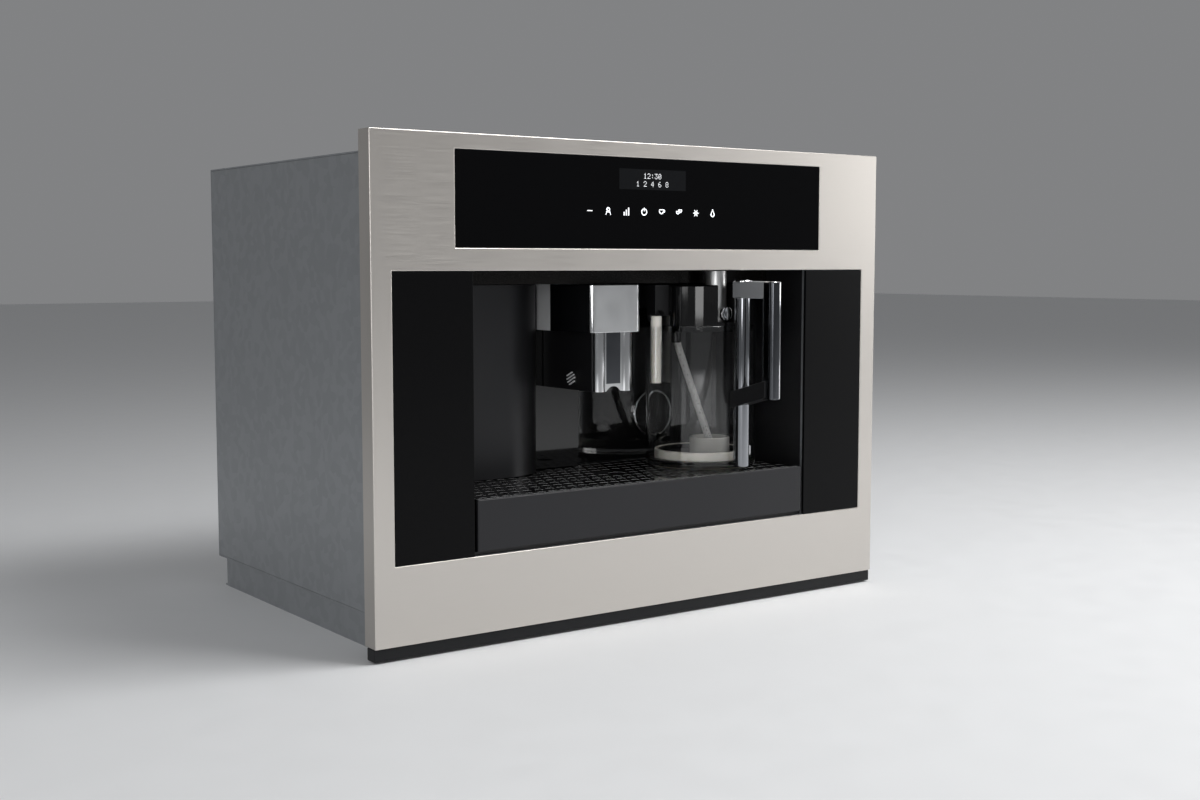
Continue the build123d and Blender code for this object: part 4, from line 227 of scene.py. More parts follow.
def place(name, bm, body, choices, nodes=(), bevel=0.0, bevel_steps=2, solidify=0.0, fix=True):
    """Makes a finished piece from a mesh and sets what it rides on, stands for and is made of."""
    if fix:
        bmesh.ops.remove_doubles(bm, verts=bm.verts[:], dist=SAME_PLACE)
        bmesh.ops.recalc_face_normals(bm, faces=bm.faces[:])
    mesh = bpy.data.meshes.new(name)
    bm.to_mesh(mesh)
    bm.free()
    mesh.shade_smooth()
    mesh.set_sharp_from_angle(angle=SHARP)
    piece = bpy.data.objects.new(name, mesh)
    bpy.context.scene.collection.objects.link(piece)
    for choice in choices:
        mesh.materials.append(finish(choice))
    if solidify:
        wall = piece.modifiers.new("Wall", "SOLIDIFY")
        wall.thickness = solidify * MM
        wall.offset = -1.0
        wall.use_even_offset = True
    if bevel:
        edge = piece.modifiers.new("Edges", "BEVEL")
        edge.width = bevel * MM
        edge.segments = bevel_steps
        edge.limit_method = "ANGLE"
        edge.angle_limit = BEVEL_FROM
        edge.harden_normals = True
        edge.use_clamp_overlap = True
    # Large faces keep their own normals, so flat glass and steel mirror straight lines.
    shading = piece.modifiers.new("Shading", "WEIGHTED_NORMAL")
    shading.mode = "FACE_AREA"
    shading.weight = 100
    shading.keep_sharp = True
    if nodes:
        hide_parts(*nodes)
    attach(piece, body)


def dress(node, name, body, choice, bevel=0.0):
    """Places a copy of a CAD node as a finished piece."""
    place(name, copied(node), body, [choice], [node], bevel=bevel)


def paint_nodes(choices):
    """Gives CAD nodes that keep their shape their finishes."""
    for node, name in choices.items():
        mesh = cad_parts[node].data
        if not mesh.materials:
            mesh.materials.append(None)
        for index in range(len(mesh.materials)):
            mesh.materials[index] = finish(name)


# ---------------------------------------------------------------- material helpers
def add_node(tree, kind, values=None, links=None, **settings):
    """Adds a node, gives it its settings and values, and links its inputs."""
    node = tree.nodes.new(kind)
    for key, value in settings.items():
        setattr(node, key, value)
    for key, value in (values or {}).items():
        node.inputs[key].default_value = value
    for key, source in (links or {}).items():
        tree.links.new(source, node.inputs[key])
    return node


def base_finish(name, colour, roughness, metallic=0.0, **sockets):
    """A new material with its shader's plain values set, and its tree and shader."""
    material = bpy.data.materials.new(name)
    material.use_nodes = True
    tree = material.node_tree
    shader = tree.nodes["Principled BSDF"]
    shader.inputs["Base Color"].default_value = linear(colour)
    shader.inputs["Roughness"].default_value = roughness
    shader.inputs["Metallic"].default_value = metallic
    for key, value in sockets.items():
        shader.inputs[key.replace("_", " ")].default_value = value
    return material, tree, shader


def stretched(tree, stretch):
    """Object coordinates in millimetres, stretched along an axis."""
    coordinates = add_node(tree, "ShaderNodeTexCoord")
    mapping = add_node(
        tree, "ShaderNodeMapping", {"Scale": tuple(s / MM for s in stretch)},
        {"Vector": coordinates.outputs["Object"]}
    )
    return mapping.outputs["Vector"]


def vary_roughness(tree, shader, source, low, high):
    """Lets a pattern move the roughness between two values."""
    spread = add_node(
        tree, "ShaderNodeMapRange", {"From Min": 0.3, "From Max": 0.7, "To Min": low, "To Max": high},
        {"Value": source}
    )
    tree.links.new(spread.outputs["Result"], shader.inputs["Roughness"])


def vary_colour(tree, shader, source, dark, light):
    """Lets a pattern move the colour between two hex values."""
    ramp = add_node(tree, "ShaderNodeValToRGB", None, {"Fac": source})
    ramp.color_ramp.elements[0].position = 0.3
    ramp.color_ramp.elements[0].color = linear(dark)
    ramp.color_ramp.elements[1].position = 0.7
    ramp.color_ramp.elements[1].color = linear(light)
    tree.links.new(ramp.outputs["Color"], shader.inputs["Base Color"])


def raise_bump(tree, shader, source, height_mm, strength):
    """Raises a pattern by a height in millimetres."""
    bump = add_node(
        tree, "ShaderNodeBump", {"Strength": strength, "Distance": height_mm * MM}, {"Height": source}
    )
    tree.links.new(bump.outputs["Normal"], shader.inputs["Normal"])


def noise(tree, size_mm, stretch=(1, 1, 1), detail=2.0):
    """A noise whose grains are about a size in millimetres."""
    vector = stretched(tree, tuple(s / size_mm for s in stretch))
    grains = add_node(tree, "ShaderNodeTexNoise", {"Scale": 1.0, "Detail": detail}, {"Vector": vector})
    return grains.outputs["Fac"]


# ---------------------------------------------------------------- finishes
# Finishes with one grain: its size in millimetres, its stretch and detail, the spread of
# roughness that it moves over, and a bump of (height in millimetres, strength).
MOULDED = {"grain": 0.5, "bump": (0.015, 0.3)}
CHROME_MARKS = {"metallic": 1.0, "grain": 18.0, "detail": 4.0}
GRAINED = {
    # Chrome plate on moulded plastic, polished: mirror bright, with faint cleaning marks.
    "polished_chrome": dict(CHROME_MARKS, colour="#E2E3E4", roughness=0.05, spread=(0.035, 0.075)),
    # Satin chrome plate: blurs the room into one even light grey.
    "satin_chrome": dict(CHROME_MARKS, colour="#E2E3E4", roughness=0.24, spread=(0.22, 0.27)),
    # Chrome darkened with painted shade: keeps the mirror's streaks, but holds the pale floor's reflection
    # down.
    "shaded_chrome": dict(CHROME_MARKS, colour="#8E9094", roughness=0.07, spread=(0.05, 0.09)),
    # Chrome darkened with painted shade, as between the two nozzles and on the shaded sides of the housing
    # and grip: a mirror with a dark depth.
    "shade_painted_chrome": dict(colour="#5A5C60", roughness=0.14, metallic=1.0, grain=12.0, spread=(0.11, 0.17)),
    # Painted highlights on the rims of the punched slots: thin pale dashes on the black grille.
    "highlight_painted_rim": dict(colour="#F0F1F2", roughness=0.5, metallic=0.3, grain=200.0, spread=(0.45, 0.55)),
    # Stainless steel, turned and polished, with the turning marks round it.
    "polished_steel": dict(
        colour="#C9CACB", roughness=0.12, metallic=1.0, grain=1.2, stretch=(1.0, 1.0, 0.1),
        spread=(0.09, 0.17)
    ),
    # Bead-blasted stainless steel: soft grey, with no mirror left.
    "satin_steel": dict(
        colour="#DCDCDB", roughness=0.3, metallic=1.0, grain=0.4, spread=(0.3, 0.4), bump=(0.006, 0.25)
    ),
    # Toughened glass, printed black on its back: deep black under a clear surface.
    "black_glass": dict(
        colour="#050506", roughness=0.05, grain=30.0, detail=4.0, spread=(0.03, 0.08), IOR=1.22
    ),
    # Sheet metal in smooth black powder coat with a soft low gloss.
    "black_lacquer": dict(
        colour="#060607", roughness=0.3, grain=0.6, spread=(0.26, 0.36), bump=(0.01, 0.25), IOR=1.2
    ),
    # Moulded ABS with a high-gloss black skin, which mirrors the chrome in front of it.
    "gloss_black": dict(
        name="gloss_black_abs", colour="#0A0A0B", roughness=0.05, grain=22.0, detail=1.0, spread=(0.03, 0.07),
        bump=(0.02, 0.2), IOR=1.53
    ),
    # Moulded black ABS with the fine spark grain of its tool.
    "moulded_black": dict(
        name="moulded_black_abs", colour="#101012", roughness=0.42, grain=0.5, spread=(0.36, 0.5),
        bump=(0.02, 0.35), IOR=1.5
    ),
    # Anodised aluminium in near-neutral dark grey: satin, with a soft upright highlight.
    "satin_graphite": dict(
        colour="#2C2C2E", roughness=0.4, metallic=0.5, grain=0.4, stretch=(1.0, 1.0, 0.6),
        spread=(0.34, 0.44), bump=(0.008, 0.25)
    ),
    # Satin powder coat in near-neutral dark grey, as on a tray's front.
    "tray_enamel": dict(
        name="tray_powder_coat", colour="#1E1E21", roughness=0.42, grain=0.5, spread=(0.36, 0.46),
        bump=(0.01, 0.3), IOR=1.4
    ),
    # Moulded dark brown ABS of the recess's header, smooth and almost without gloss.
    "header_brown": dict(
        name="header_abs", colour="#0D0A08", roughness=0.25, grain=0.8, spread=(0.22, 0.3), IOR=1.3
    ),
    # Extruded aluminium, anodised near black, with its drawing lines along it.
    "dark_trim": dict(
        name="dark_anodised_trim", colour="#17181A", roughness=0.35, metallic=0.5, grain=0.5,
        stretch=(0.02, 1.0, 1.0), spread=(0.3, 0.42), bump=(0.004, 0.3)
    ),
    # Blown borosilicate glass: clear and colourless, with edges that catch the light.
    "clear_glass": dict(
        name="borosilicate_glass", colour="#FFFFFF", roughness=0.0, grain=25.0, spread=(0.0, 0.012),
        Transmission_Weight=1.0, IOR=1.47
    ),
    # Moulded SAN of the water tank: clear with a grey tint.
    "smoked_clear": dict(
        name="smoked_san", colour="#9DA3A8", roughness=0.06, grain=8.0, spread=(0.04, 0.1),
        Transmission_Weight=0.85, IOR=1.57
    ),
    # Drawn silicone tube: milky, with light showing through.
    "tube_clear": dict(
        name="silicone_tube", colour="#E9E9E6", roughness=0.3, grain=2.0, spread=(0.25, 0.36),
        Transmission_Weight=0.45, IOR=1.41
    ),
    # Moulded cream polypropylene, soft and slightly waxy.
    "cream_moulding": dict(
        name="cream_polypropylene", colour="#FAF6EC", roughness=0.38, grain=0.8, spread=(0.34, 0.44),
        bump=(0.01, 0.25), Subsurface_Weight=0.08, Subsurface_Radius=(0.004, 0.003, 0.002)
    ),
    # Die-cast aluminium with the fine sand-like skin of its casting.
    "cast_aluminium": dict(
        colour="#A9ABAD", roughness=0.5, metallic=1.0, grain=1.2, detail=4.0, spread=(0.42, 0.58),
        bump=(0.04, 0.5)
    ),
    # The display's film behind the glass, a little lighter than the glass round it.
    "display_film": dict(colour="#101113", roughness=0.16, grain=0.5, spread=(0.14, 0.2), IOR=1.3),
    # Light grey with painted light, standing in for lit chrome: a soft metal grey without a mirror.
    "light_painted_chrome": dict(
        MOULDED, name="chrome_grey_with_painted_light", colour="#A9ABAE", roughness=0.28, metallic=0.5, spread=(0.28, 0.36)
    ),
    # Moulded grey polypropylene, dull and slightly grained.
    "grey_moulding": dict(
        MOULDED, name="grey_polypropylene", colour="#5B5F63", roughness=0.4, spread=(0.4, 0.52)
    ),
    # Moulded natural polypropylene: off-white, with a little light showing through.
    "milky_moulding": dict(
        MOULDED, name="milky_polypropylene", colour="#CFCDC6", roughness=0.3, spread=(0.3, 0.36),
        Transmission_Weight=0.25, IOR=1.49
    ),
    # Pale grey: the pale moulded ribs of the thumb grip, and a painted reflection, the bright band on the
    # spout housing's left side.
    "pale_ribs_and_painted_reflection": dict(MOULDED, name="pale_grey_ribs_and_painted_reflection", colour="#D2D3D4", roughness=0.3, spread=(0.3, 0.4)),
    # Glass-filled nylon of pumps and drives: dark, dull and rough.
    "pump_plastic": dict(
        MOULDED, name="glass_filled_nylon", colour="#2B2E33", roughness=0.5, spread=(0.5, 0.65)
    ),
}
FINISHES = {}


def finish(key):
    """A finish by its key, made when it is first asked for."""
    if key not in FINISHES:
        FINISHES[key] = SPECIAL[key]() if key in SPECIAL else grained(**{"name": key, **GRAINED[key]})
    return FINISHES[key]


def grained(
    name, colour, roughness, grain, spread, metallic=0.0, stretch=(1, 1, 1), detail=2.0, bump=None, **sockets
):
    """A finish whose one grain moves the roughness and may raise a bump."""
    material, tree, shader = base_finish(name, colour, roughness, metallic, **sockets)
    pattern = noise(tree, grain, stretch, detail)
    vary_roughness(tree, shader, pattern, *spread)
    if bump:
        raise_bump(tree, shader, pattern, *bump)
    return material


def brushed_stainless():
    """Cold-rolled stainless sheet, brushed sideways: a warm sheen drawn out up and down."""
    colour = bpy.context.scene.coffee_finishes.steel_colour
    material, tree, shader = base_finish("brushed_stainless", STEEL, 0.36, 1.0, Anisotropic=0.35)
    shader.inputs["Base Color"].default_value = (*colour, 1.0)
    # Real brush lines are about 0.05 mm apart, drawn here about 0.5 mm apart so that they show.
    lines = noise(tree, 0.5, (0.012, 1.0, 1.0), 3.0)
    vary_roughness(tree, shader, lines, 0.31, 0.42)
    raise_bump(tree, shader, lines, 0.006, 0.35)
    return material


def zinc_sheet():
    """Hot-dip galvanised steel sheet: grey, with the faint spangle of zinc crystals about 9 mm wide."""
    material, tree, shader = base_finish("galvanised_sheet", "#A7AAAD", 0.42, 0.9)
    across = stretched(tree, (1 / 9, 1 / 9, 1 / 9))
    crystals = add_node(tree, "ShaderNodeTexVoronoi", {"Scale": 1.0}, {"Vector": across})
    tone = add_node(tree, "ShaderNodeSeparateColor", None, {"Color": crystals.outputs["Color"]})
    vary_colour(tree, shader, tone.outputs["Red"], "#A5A8AB", "#ABAEB1")
    vary_roughness(tree, shader, tone.outputs["Green"], 0.425, 0.445)
    return material


def circuit_board():
    """Glass-fibre laminate under green solder resist, with a weave about 1.5 mm wide."""
    material, tree, shader = base_finish("solder_resist", "#1D5A33", 0.3)
    vary_colour(tree, shader, noise(tree, 1.5), "#184C2B", "#21653A")
    return material


def hose_rubber():
    """Extruded black EPDM hose, dull, with a trace of talc."""
    material, tree, shader = base_finish("epdm_hose", "#16171A", 0.7)
    vary_colour(tree, shader, noise(tree, 3.0, detail=4.0), "#141517", "#222326")
    return material


def lit_symbol():
    """White print that a lamp behind the glass lights."""
    material, _, shader = base_finish("lit_symbol", "#F4F6F8", 0.5, Emission_Strength=0.55)
    shader.inputs["Emission Color"].default_value = linear("#F4F6F8")
    return material


SPECIAL = {
    "brushed_stainless": brushed_stainless, "zinc_sheet": zinc_sheet, "circuit_board": circuit_board,
    "hose_rubber": hose_rubber, "lit_symbol": lit_symbol
}


# ---------------------------------------------------------------- sizes and colours
class FinishSettings(bpy.types.PropertyGroup):
    """Colours that a user would change."""

    steel_colour: FloatVectorProperty(
        name="Steel colour", description="Reflected colour of the brushed front", subtype="COLOR", size=3,
        min=0.0, max=1.0, default=linear(STEEL)[:3]
    )


class FrontSettings(bpy.types.PropertyGroup):
    """The steel front's edge and the display's numbers."""

    edge_rounding: FloatProperty(
        name="Edge rounding", description="Rounding of the steel's outer edges", default=0.8 * MM, min=0.0,
        max=2.0 * MM, subtype="DISTANCE", unit="LENGTH"
    )
    digits: StringProperty(name="Display", description="Numbers on the display's upper line", default="12:30")


class GrilleSettings(bpy.types.PropertyGroup):
    """Sizes of the slots in the drip grille."""

    slot_length: FloatProperty(
        name="Slot length", description="Length of one slot, sideways", default=6.5 * MM, min=4.0 * MM,
        max=10.0 * MM, subtype="DISTANCE", unit="LENGTH"
    )
    slot_width: FloatProperty(
        name="Slot width", description="Width of one slot, front to back", default=5.5 * MM, min=4.0 * MM,
        max=9.0 * MM, subtype="DISTANCE", unit="LENGTH"
    )


class StageSettings(bpy.types.PropertyGroup):
    """Colours and lamps of the studio."""

    floor_colour: FloatVectorProperty(
        name="Floor colour", description="Colour of the floor", subtype="COLOR", size=3, min=0.0, max=1.0,
        default=linear(FLOOR)[:3]
    )
    lamp_power: FloatProperty(
        name="Lamp power", description="Scale of all the lamps' power", default=1.0, min=0.0, max=4.0
    )


# ---------------------------------------------------------------- steel front
class MACHINE_OT_front(bpy.types.Operator):
    """Builds the brushed steel front with its folded edge and two cut-outs"""

    bl_idname = "machine.front"
    bl_label = "Steel front"

    def execute(self, context):
        rounding = context.scene.coffee_front.edge_rounding
        (left, right), (front, back), (low, high) = node_span("fascia")
        bm = bmesh.new()
        made = bmesh.ops.create_grid(bm, x_segments=1, y_segments=1, size=0.5)["verts"]
        bmesh.ops.rotate(bm, verts=made, cent=(0, 0, 0), matrix=Matrix.Rotation(math.radians(90), 3, "X"))
        bmesh.ops.scale(bm, vec=((right - left) * MM, 1, (high - low) * MM), verts=made)
        bmesh.ops.translate(bm, vec=spot((left + right) / 2, front, (low + high) / 2), verts=made)
        gap = 0.3
        holes = [
            (x[0] - gap, x[1] + gap, z[0] - gap, z[1] + gap)
            for x, _, z in (node_span("flank_panels"), node_span("control_glass"))
        ]
        for hole in holes:
            for x in hole[:2]:
                cut_plane(bm, spot(x, 0, 0), (1, 0, 0))
            for z in hole[2:]:
                cut_plane(bm, spot(0, 0, z), (0, 0, 1))
        for face in list(bm.faces):
            centre = face.calc_center_median() / MM
            if any(h[0] < centre.x < h[1] and h[2] < centre.z < h[3] for h in holes):
                bm.faces.remove(face)
        bmesh.ops.delete(bm, geom=[v for v in bm.verts if not v.link_faces], context="VERTS")
        rim = [
            edge
            for edge in bm.edges
            if edge.is_boundary
            and (
                all(abs(abs(v.co.x / MM) - right) < 0.01 for v in edge.verts)
                or all(min(abs(v.co.z / MM - low), abs(v.co.z / MM - high)) < 0.01 for v in edge.verts)
            )
        ]
        made = bmesh.ops.extrude_edge_only(bm, edges=rim)
        bmesh.ops.translate(bm, vec=(0, (back - front) * MM, 0), verts=moved_verts(made))
        bmesh.ops.recalc_face_normals(bm, faces=bm.faces[:])
        if max(bm.faces, key=lambda f: f.calc_area()).normal.y > 0:
            bmesh.ops.reverse_faces(bm, faces=bm.faces[:])
        place(
            "steel_front", bm, "machine", ["brushed_stainless"], ["fascia"],
            bevel=rounding / MM, bevel_steps=3, solidify=1.5, fix=False
        )
        return {"FINISHED"}


# Digits on a grid of 5 by 7 dots, one number per row with its bits from the left.
DOT_ROWS = {
    "0": (14, 17, 19, 21, 25, 17, 14), "1": (4, 12, 4, 4, 4, 4, 14), "2": (14, 17, 1, 2, 4, 8, 31),
    "3": (31, 2, 4, 2, 1, 17, 14), "4": (2, 6, 10, 18, 31, 2, 2), "5": (31, 16, 30, 1, 1, 17, 14),
    "6": (6, 8, 16, 30, 17, 17, 14), "7": (31, 1, 2, 4, 8, 8, 8), "8": (14, 17, 17, 14, 17, 17, 14),
    "9": (14, 17, 17, 15, 1, 2, 12), ":": (0, 4, 4, 0, 4, 4, 0), " ": (0, 0, 0, 0, 0, 0, 0)
}
DOT_PITCH = 0.72


def add_digits(bm, text, centre_x, base_z):
    """Adds a line of dot digits, centred on x."""
    width = len(text) * 6 * DOT_PITCH
    for place_in_line, character in enumerate(text):
        left = centre_x - width / 2 + place_in_line * 6 * DOT_PITCH
        for row, bits in enumerate(DOT_ROWS[character]):
            for column in range(5):
                if bits & (16 >> column):
                    x = left + column * DOT_PITCH
                    z = base_z + (6 - row) * DOT_PITCH
                    add_stroke(bm, [(x, z), (x + 0.08, z)], 0.5)


def add_symbols(bm, middle_z, spacing=20.9):
    """Adds eight generic symbols in a row: menu, cups, strength, steam and so on."""
    line = 0.9

    def ring(x, z, radius, start=0, end=360, count=20):
        add_stroke(bm, arc_points((x, z), radius, start, end, count), line)

    def stroke(*points):
        add_stroke(bm, list(points), line)

    spots = [(place_in_row - 3.5) * spacing for place_in_row in range(8)]
    z = middle_z
    x = spots[0]
    stroke((x - 2.4, z), (x + 2.4, z))
    x = spots[1]
    ring(x, z + 1.6, 1.5)
    stroke((x - 2.6, z - 3.0), (x - 1.8, z - 0.8), (x + 1.8, z - 0.8), (x + 2.6, z - 3.0))
    x = spots[2]
    for offset, height in ((-2.6, 2.0), (0.0, 4.0), (2.6, 6.0)):
        add_stroke(bm, [(x + offset, z - 3), (x + offset, z - 3 + height)], 1.4)
    x = spots[3]
    ring(x, z, 2.9, 115, 425, 26)
    stroke((x, z + 1.0), (x, z + 3.6))
    x = spots[4]
    stroke((x - 2.6, z + 2.4), (x + 1.8, z + 2.4))
    ring(x - 0.4, z + 1.2, 2.4, 180, 360, 12)
    ring(x + 2.4, z + 1.2, 1.0, -90, 90, 8)
    x = spots[5]
    for shift in (-1.3, 1.5):
        stroke((x + shift - 1.7, z + 2 + shift / 2), (x + shift + 1.7, z + 2 + shift / 2))
        ring(x + shift, z + 1.4 + shift / 2, 1.7, 180, 360, 10)
    x = spots[6]
    ring(x, z, 1.3)
    for petal in range(6):
        angle = math.radians(60 * petal)
        stroke(*((x + reach * math.cos(angle), z + reach * math.sin(angle)) for reach in (2.3, 3.0)))
    x = spots[7]
    ring(x, z - 0.9, 2.0, 150, 390, 18)
    stroke((x - 1.7, z + 0.1), (x, z + 3.6), (x + 1.7, z + 0.1))


class MACHINE_OT_controls(bpy.types.Operator):
    """Builds the control glass with its display, plain numbers and lit symbols"""

    bl_idname = "machine.controls"
    bl_label = "Control glass"

    def execute(self, context):
        display_half, display_low, display_high, symbol_row = 39.5, 411.5, 430.5, 390.8
        bm = bmesh.new()
        add_block(bm, *node_span("control_glass"), 0.35, 2)
        place("control_glass_pane", bm, "machine", ["black_glass"], ["control_glass"])

        bm = bmesh.new()
        add_block(bm, (-display_half, display_half), (-0.05, 0.2), (display_low, display_high))
        place("display_window", bm, "machine", ["display_film"])

        bm = bmesh.new()
        add_digits(bm, context.scene.coffee_front.digits, 0.0, display_low + 10.6)
        add_digits(bm, "1 2 4 6 8", 0.0, display_low + 3.2)
        add_symbols(bm, symbol_row)
        made = bmesh.ops.extrude_face_region(bm, geom=bm.faces[:], use_keep_orig=True)
        bmesh.ops.translate(bm, vec=(0, 0.09 * MM, 0), verts=moved_verts(made))
        place("lit_numbers_and_symbols", bm, "machine", ["lit_symbol"])
        return {"FINISHED"}


class MACHINE_OT_flanks(bpy.types.Operator):
    """Builds the black flank panels and the plinth strip"""

    bl_idname = "machine.flanks"
    bl_label = "Flank panels and plinth"

    def execute(self, context):
        outer_x, depth_span, z_span = node_span("flank_panels")
        inner = node_span("drip_tray_front")[0][1] + 3.5
        bm = bmesh.new()
        for span in ((outer_x[0], -inner), (inner, outer_x[1])):
            add_block(bm, span, depth_span, z_span, 0.5, 2)
        place("flank_plates", bm, "machine", ["black_lacquer"], ["flank_panels"])
        bm = bmesh.new()
        add_block(bm, *node_span("bottom_trim"), 1.0, 3)
        place("plinth_strip", bm, "machine", ["dark_trim"], ["bottom_trim"])
        return {"FINISHED"}


# ---------------------------------------------------------------- service door
CHEEK_DEPTH, CHEEK_END, DOOR_ARC, DOOR_WALL_DEPTH = 100.0, -100.0, 60.0, 135.0
ARC_DEPTH = CHEEK_DEPTH + DOOR_ARC
DOOR_WALL = 3.0                  # thickness of the door's sheet
GLOSS_FROM = -48.0               # to the right of this x the door is glossy
HINGE_X, HINGE_DEPTH = -193.0, 104.0
NOTCH_X, NOTCH_TOP = -187.0, 138.1    # the notch at the door's lower left corner, for the hinge
SPOUT_X = -13.0                  # the coffee spout's middle
SPOUT_TRAVEL = 38.0              # how far the coffee spout slides up
GUIDE_BLOCK = (239.5, 269.5)     # heights of the block that guides the carriage in the door's slot
GUIDE_PLAY = 0.3                 # clearance round the guide block


def door_line(left, right, inset=0.0, count=28):
    """The door's line in plan: flat cheek, rounded part and flat wall."""
    radius = DOOR_ARC - inset
    wall = DOOR_WALL_DEPTH + inset
    sweep = math.degrees(math.acos((ARC_DEPTH - wall) / radius))
    arc = arc_points((CHEEK_END, ARC_DEPTH), radius, -90, -90 + sweep, count)
    return [(left, CHEEK_DEPTH + inset)] + arc + [(right, wall)]


class MACHINE_OT_door(bpy.types.Operator):
    """Builds the service door: satin cheek, rounded part and glossy wall, with its hinge"""

    bl_idname = "machine.door"
    bl_label = "Service door"

    def execute(self, context):
        (left, right), _, (low, high) = node_span("door_shell")
        bm = bmesh.new()
        outline = door_line(left, right) + list(reversed(door_line(left, right, DOOR_WALL)))
        add_prism(bm, outline, (low, high))
        slot_half = 6.0
        slot_low, slot_high = GUIDE_BLOCK[0] - GUIDE_PLAY, GUIDE_BLOCK[1] + SPOUT_TRAVEL + GUIDE_PLAY
        for x in (SPOUT_X - slot_half, SPOUT_X + slot_half):
            cut_plane(bm, spot(x, 0, 0), (1, 0, 0))
        for z in (slot_low, slot_high, NOTCH_TOP):
            cut_plane(bm, spot(0, 0, z), (0, 0, 1))
        cut_plane(bm, spot(NOTCH_X, 0, 0), (1, 0, 0))
        doomed = []
        for face in bm.faces:
            centre = face.calc_center_median() / MM
            in_slot = abs(centre.x - SPOUT_X) < slot_half and slot_low < centre.z < slot_high
            in_notch = centre.x < NOTCH_X and centre.z < NOTCH_TOP
            if in_notch or (in_slot and abs(face.normal.y) > 0.5):
                doomed.append(face)
        bmesh.ops.delete(bm, geom=doomed, context="FACES")
        slot_reach = (slot_half + 1.0) * MM
        slot_rims = [
            edge
            for edge in bm.edges
            if edge.is_boundary and all(abs(v.co.x - SPOUT_X * MM) < slot_reach for v in edge.verts)
        ]
        bmesh.ops.bridge_loops(bm, edges=slot_rims)
        bmesh.ops.holes_fill(bm, edges=[e for e in bm.edges if e.is_boundary], sides=0)
        for face in bm.faces:
            face.material_index = int(face.calc_center_median().x / MM > GLOSS_FROM)
        # Two bored knuckles turn on the hinge pins.
        knuckles = ((NOTCH_TOP, 151.8), (high - 14.0, high))
        bore, rim, body = 2.06, 3.2, 3.6
        for foot, head in knuckles:
            add_turned(
                bm,
                [
                    (bore, foot), (rim, foot), (body, foot + 0.4), (body, head - 0.4), (rim, head),
                    (bore, head), (bore, foot),
                ],
                spot(HINGE_X, HINGE_DEPTH, 0),
                steps=28,
            )
        place(
            "door_face", bm, "service_door", ["satin_graphite", "gloss_black"], ["door_shell"],
            bevel=0.5
        )
        paint_nodes({"door_inner_panel": "moulded_black", "door_hinge_pins": "polished_steel"})
        return {"FINISHED"}


# ---------------------------------------------------------------- recess
class MACHINE_OT_recess(bpy.types.Operator):
    """Finishes the recess: liner, header, glossy fixed wall, button and steam nozzle"""

    bl_idname = "machine.recess"
    bl_label = "Recess"

    def execute(self, context):
        paint_nodes(
            {
                "recess_liner": "moulded_black",
                "recess_header": "header_brown",
                "recess_back_wall": "gloss_black",
            }
        )
        (left, right), (front, back), (low, high) = node_span("release_button")
        middle = ((left + right) / 2, (low + high) / 2)
        bm = bmesh.new()
        centre = spot(middle[0], back, middle[1])
        depth = back - front
        radius = (right - left) / 2
        # Turned about y: a chrome rim round a dished black face.
        add_turned(
            bm,
            [
                (0, 0), (radius, 0), (radius, 1.5), (radius - 2, 1.6), (radius - 2, depth - 0.7),
                (radius - 2.6, depth), (radius - 4.1, depth), (radius - 4.6, depth - 0.6),
            ],
            centre,
            "Y",
        )
        add_turned(
            bm,
            [
                (radius - 4.6, depth - 0.6), (radius - 4.9, depth - 1.0), (12, depth - 1.5),
                (5, depth - 1.75), (0, depth - 1.8),
            ],
            centre,
            "Y",
            mark=1,
        )
        place(
            "door_release_button", bm, "release_button", ["polished_chrome", "gloss_black"],
            ["release_button"]
        )
        (left, right), (front, back), (low, high) = node_span("steam_nozzle")
        length = back - front
        bm = bmesh.new()
        add_turned(
            bm,
            [
                (0, 0), (5, 0), (5, 18.9), (9, 19.0), (9, 22), (5, 22), (5, length - 7), (4.4, length - 6.4),
                (4.4, length - 5.2), (5, length - 4.6), (5, length - 0.8), (4.3, length), (2.2, length),
                (2.2, length - 8), (0, length - 8),
            ],
            spot((left + right) / 2, back, (low + high) / 2),
            "Y",
            40,
        )
        place("steam_outlet", bm, "machine", ["polished_steel"], ["steam_nozzle"])
        return {"FINISHED"}


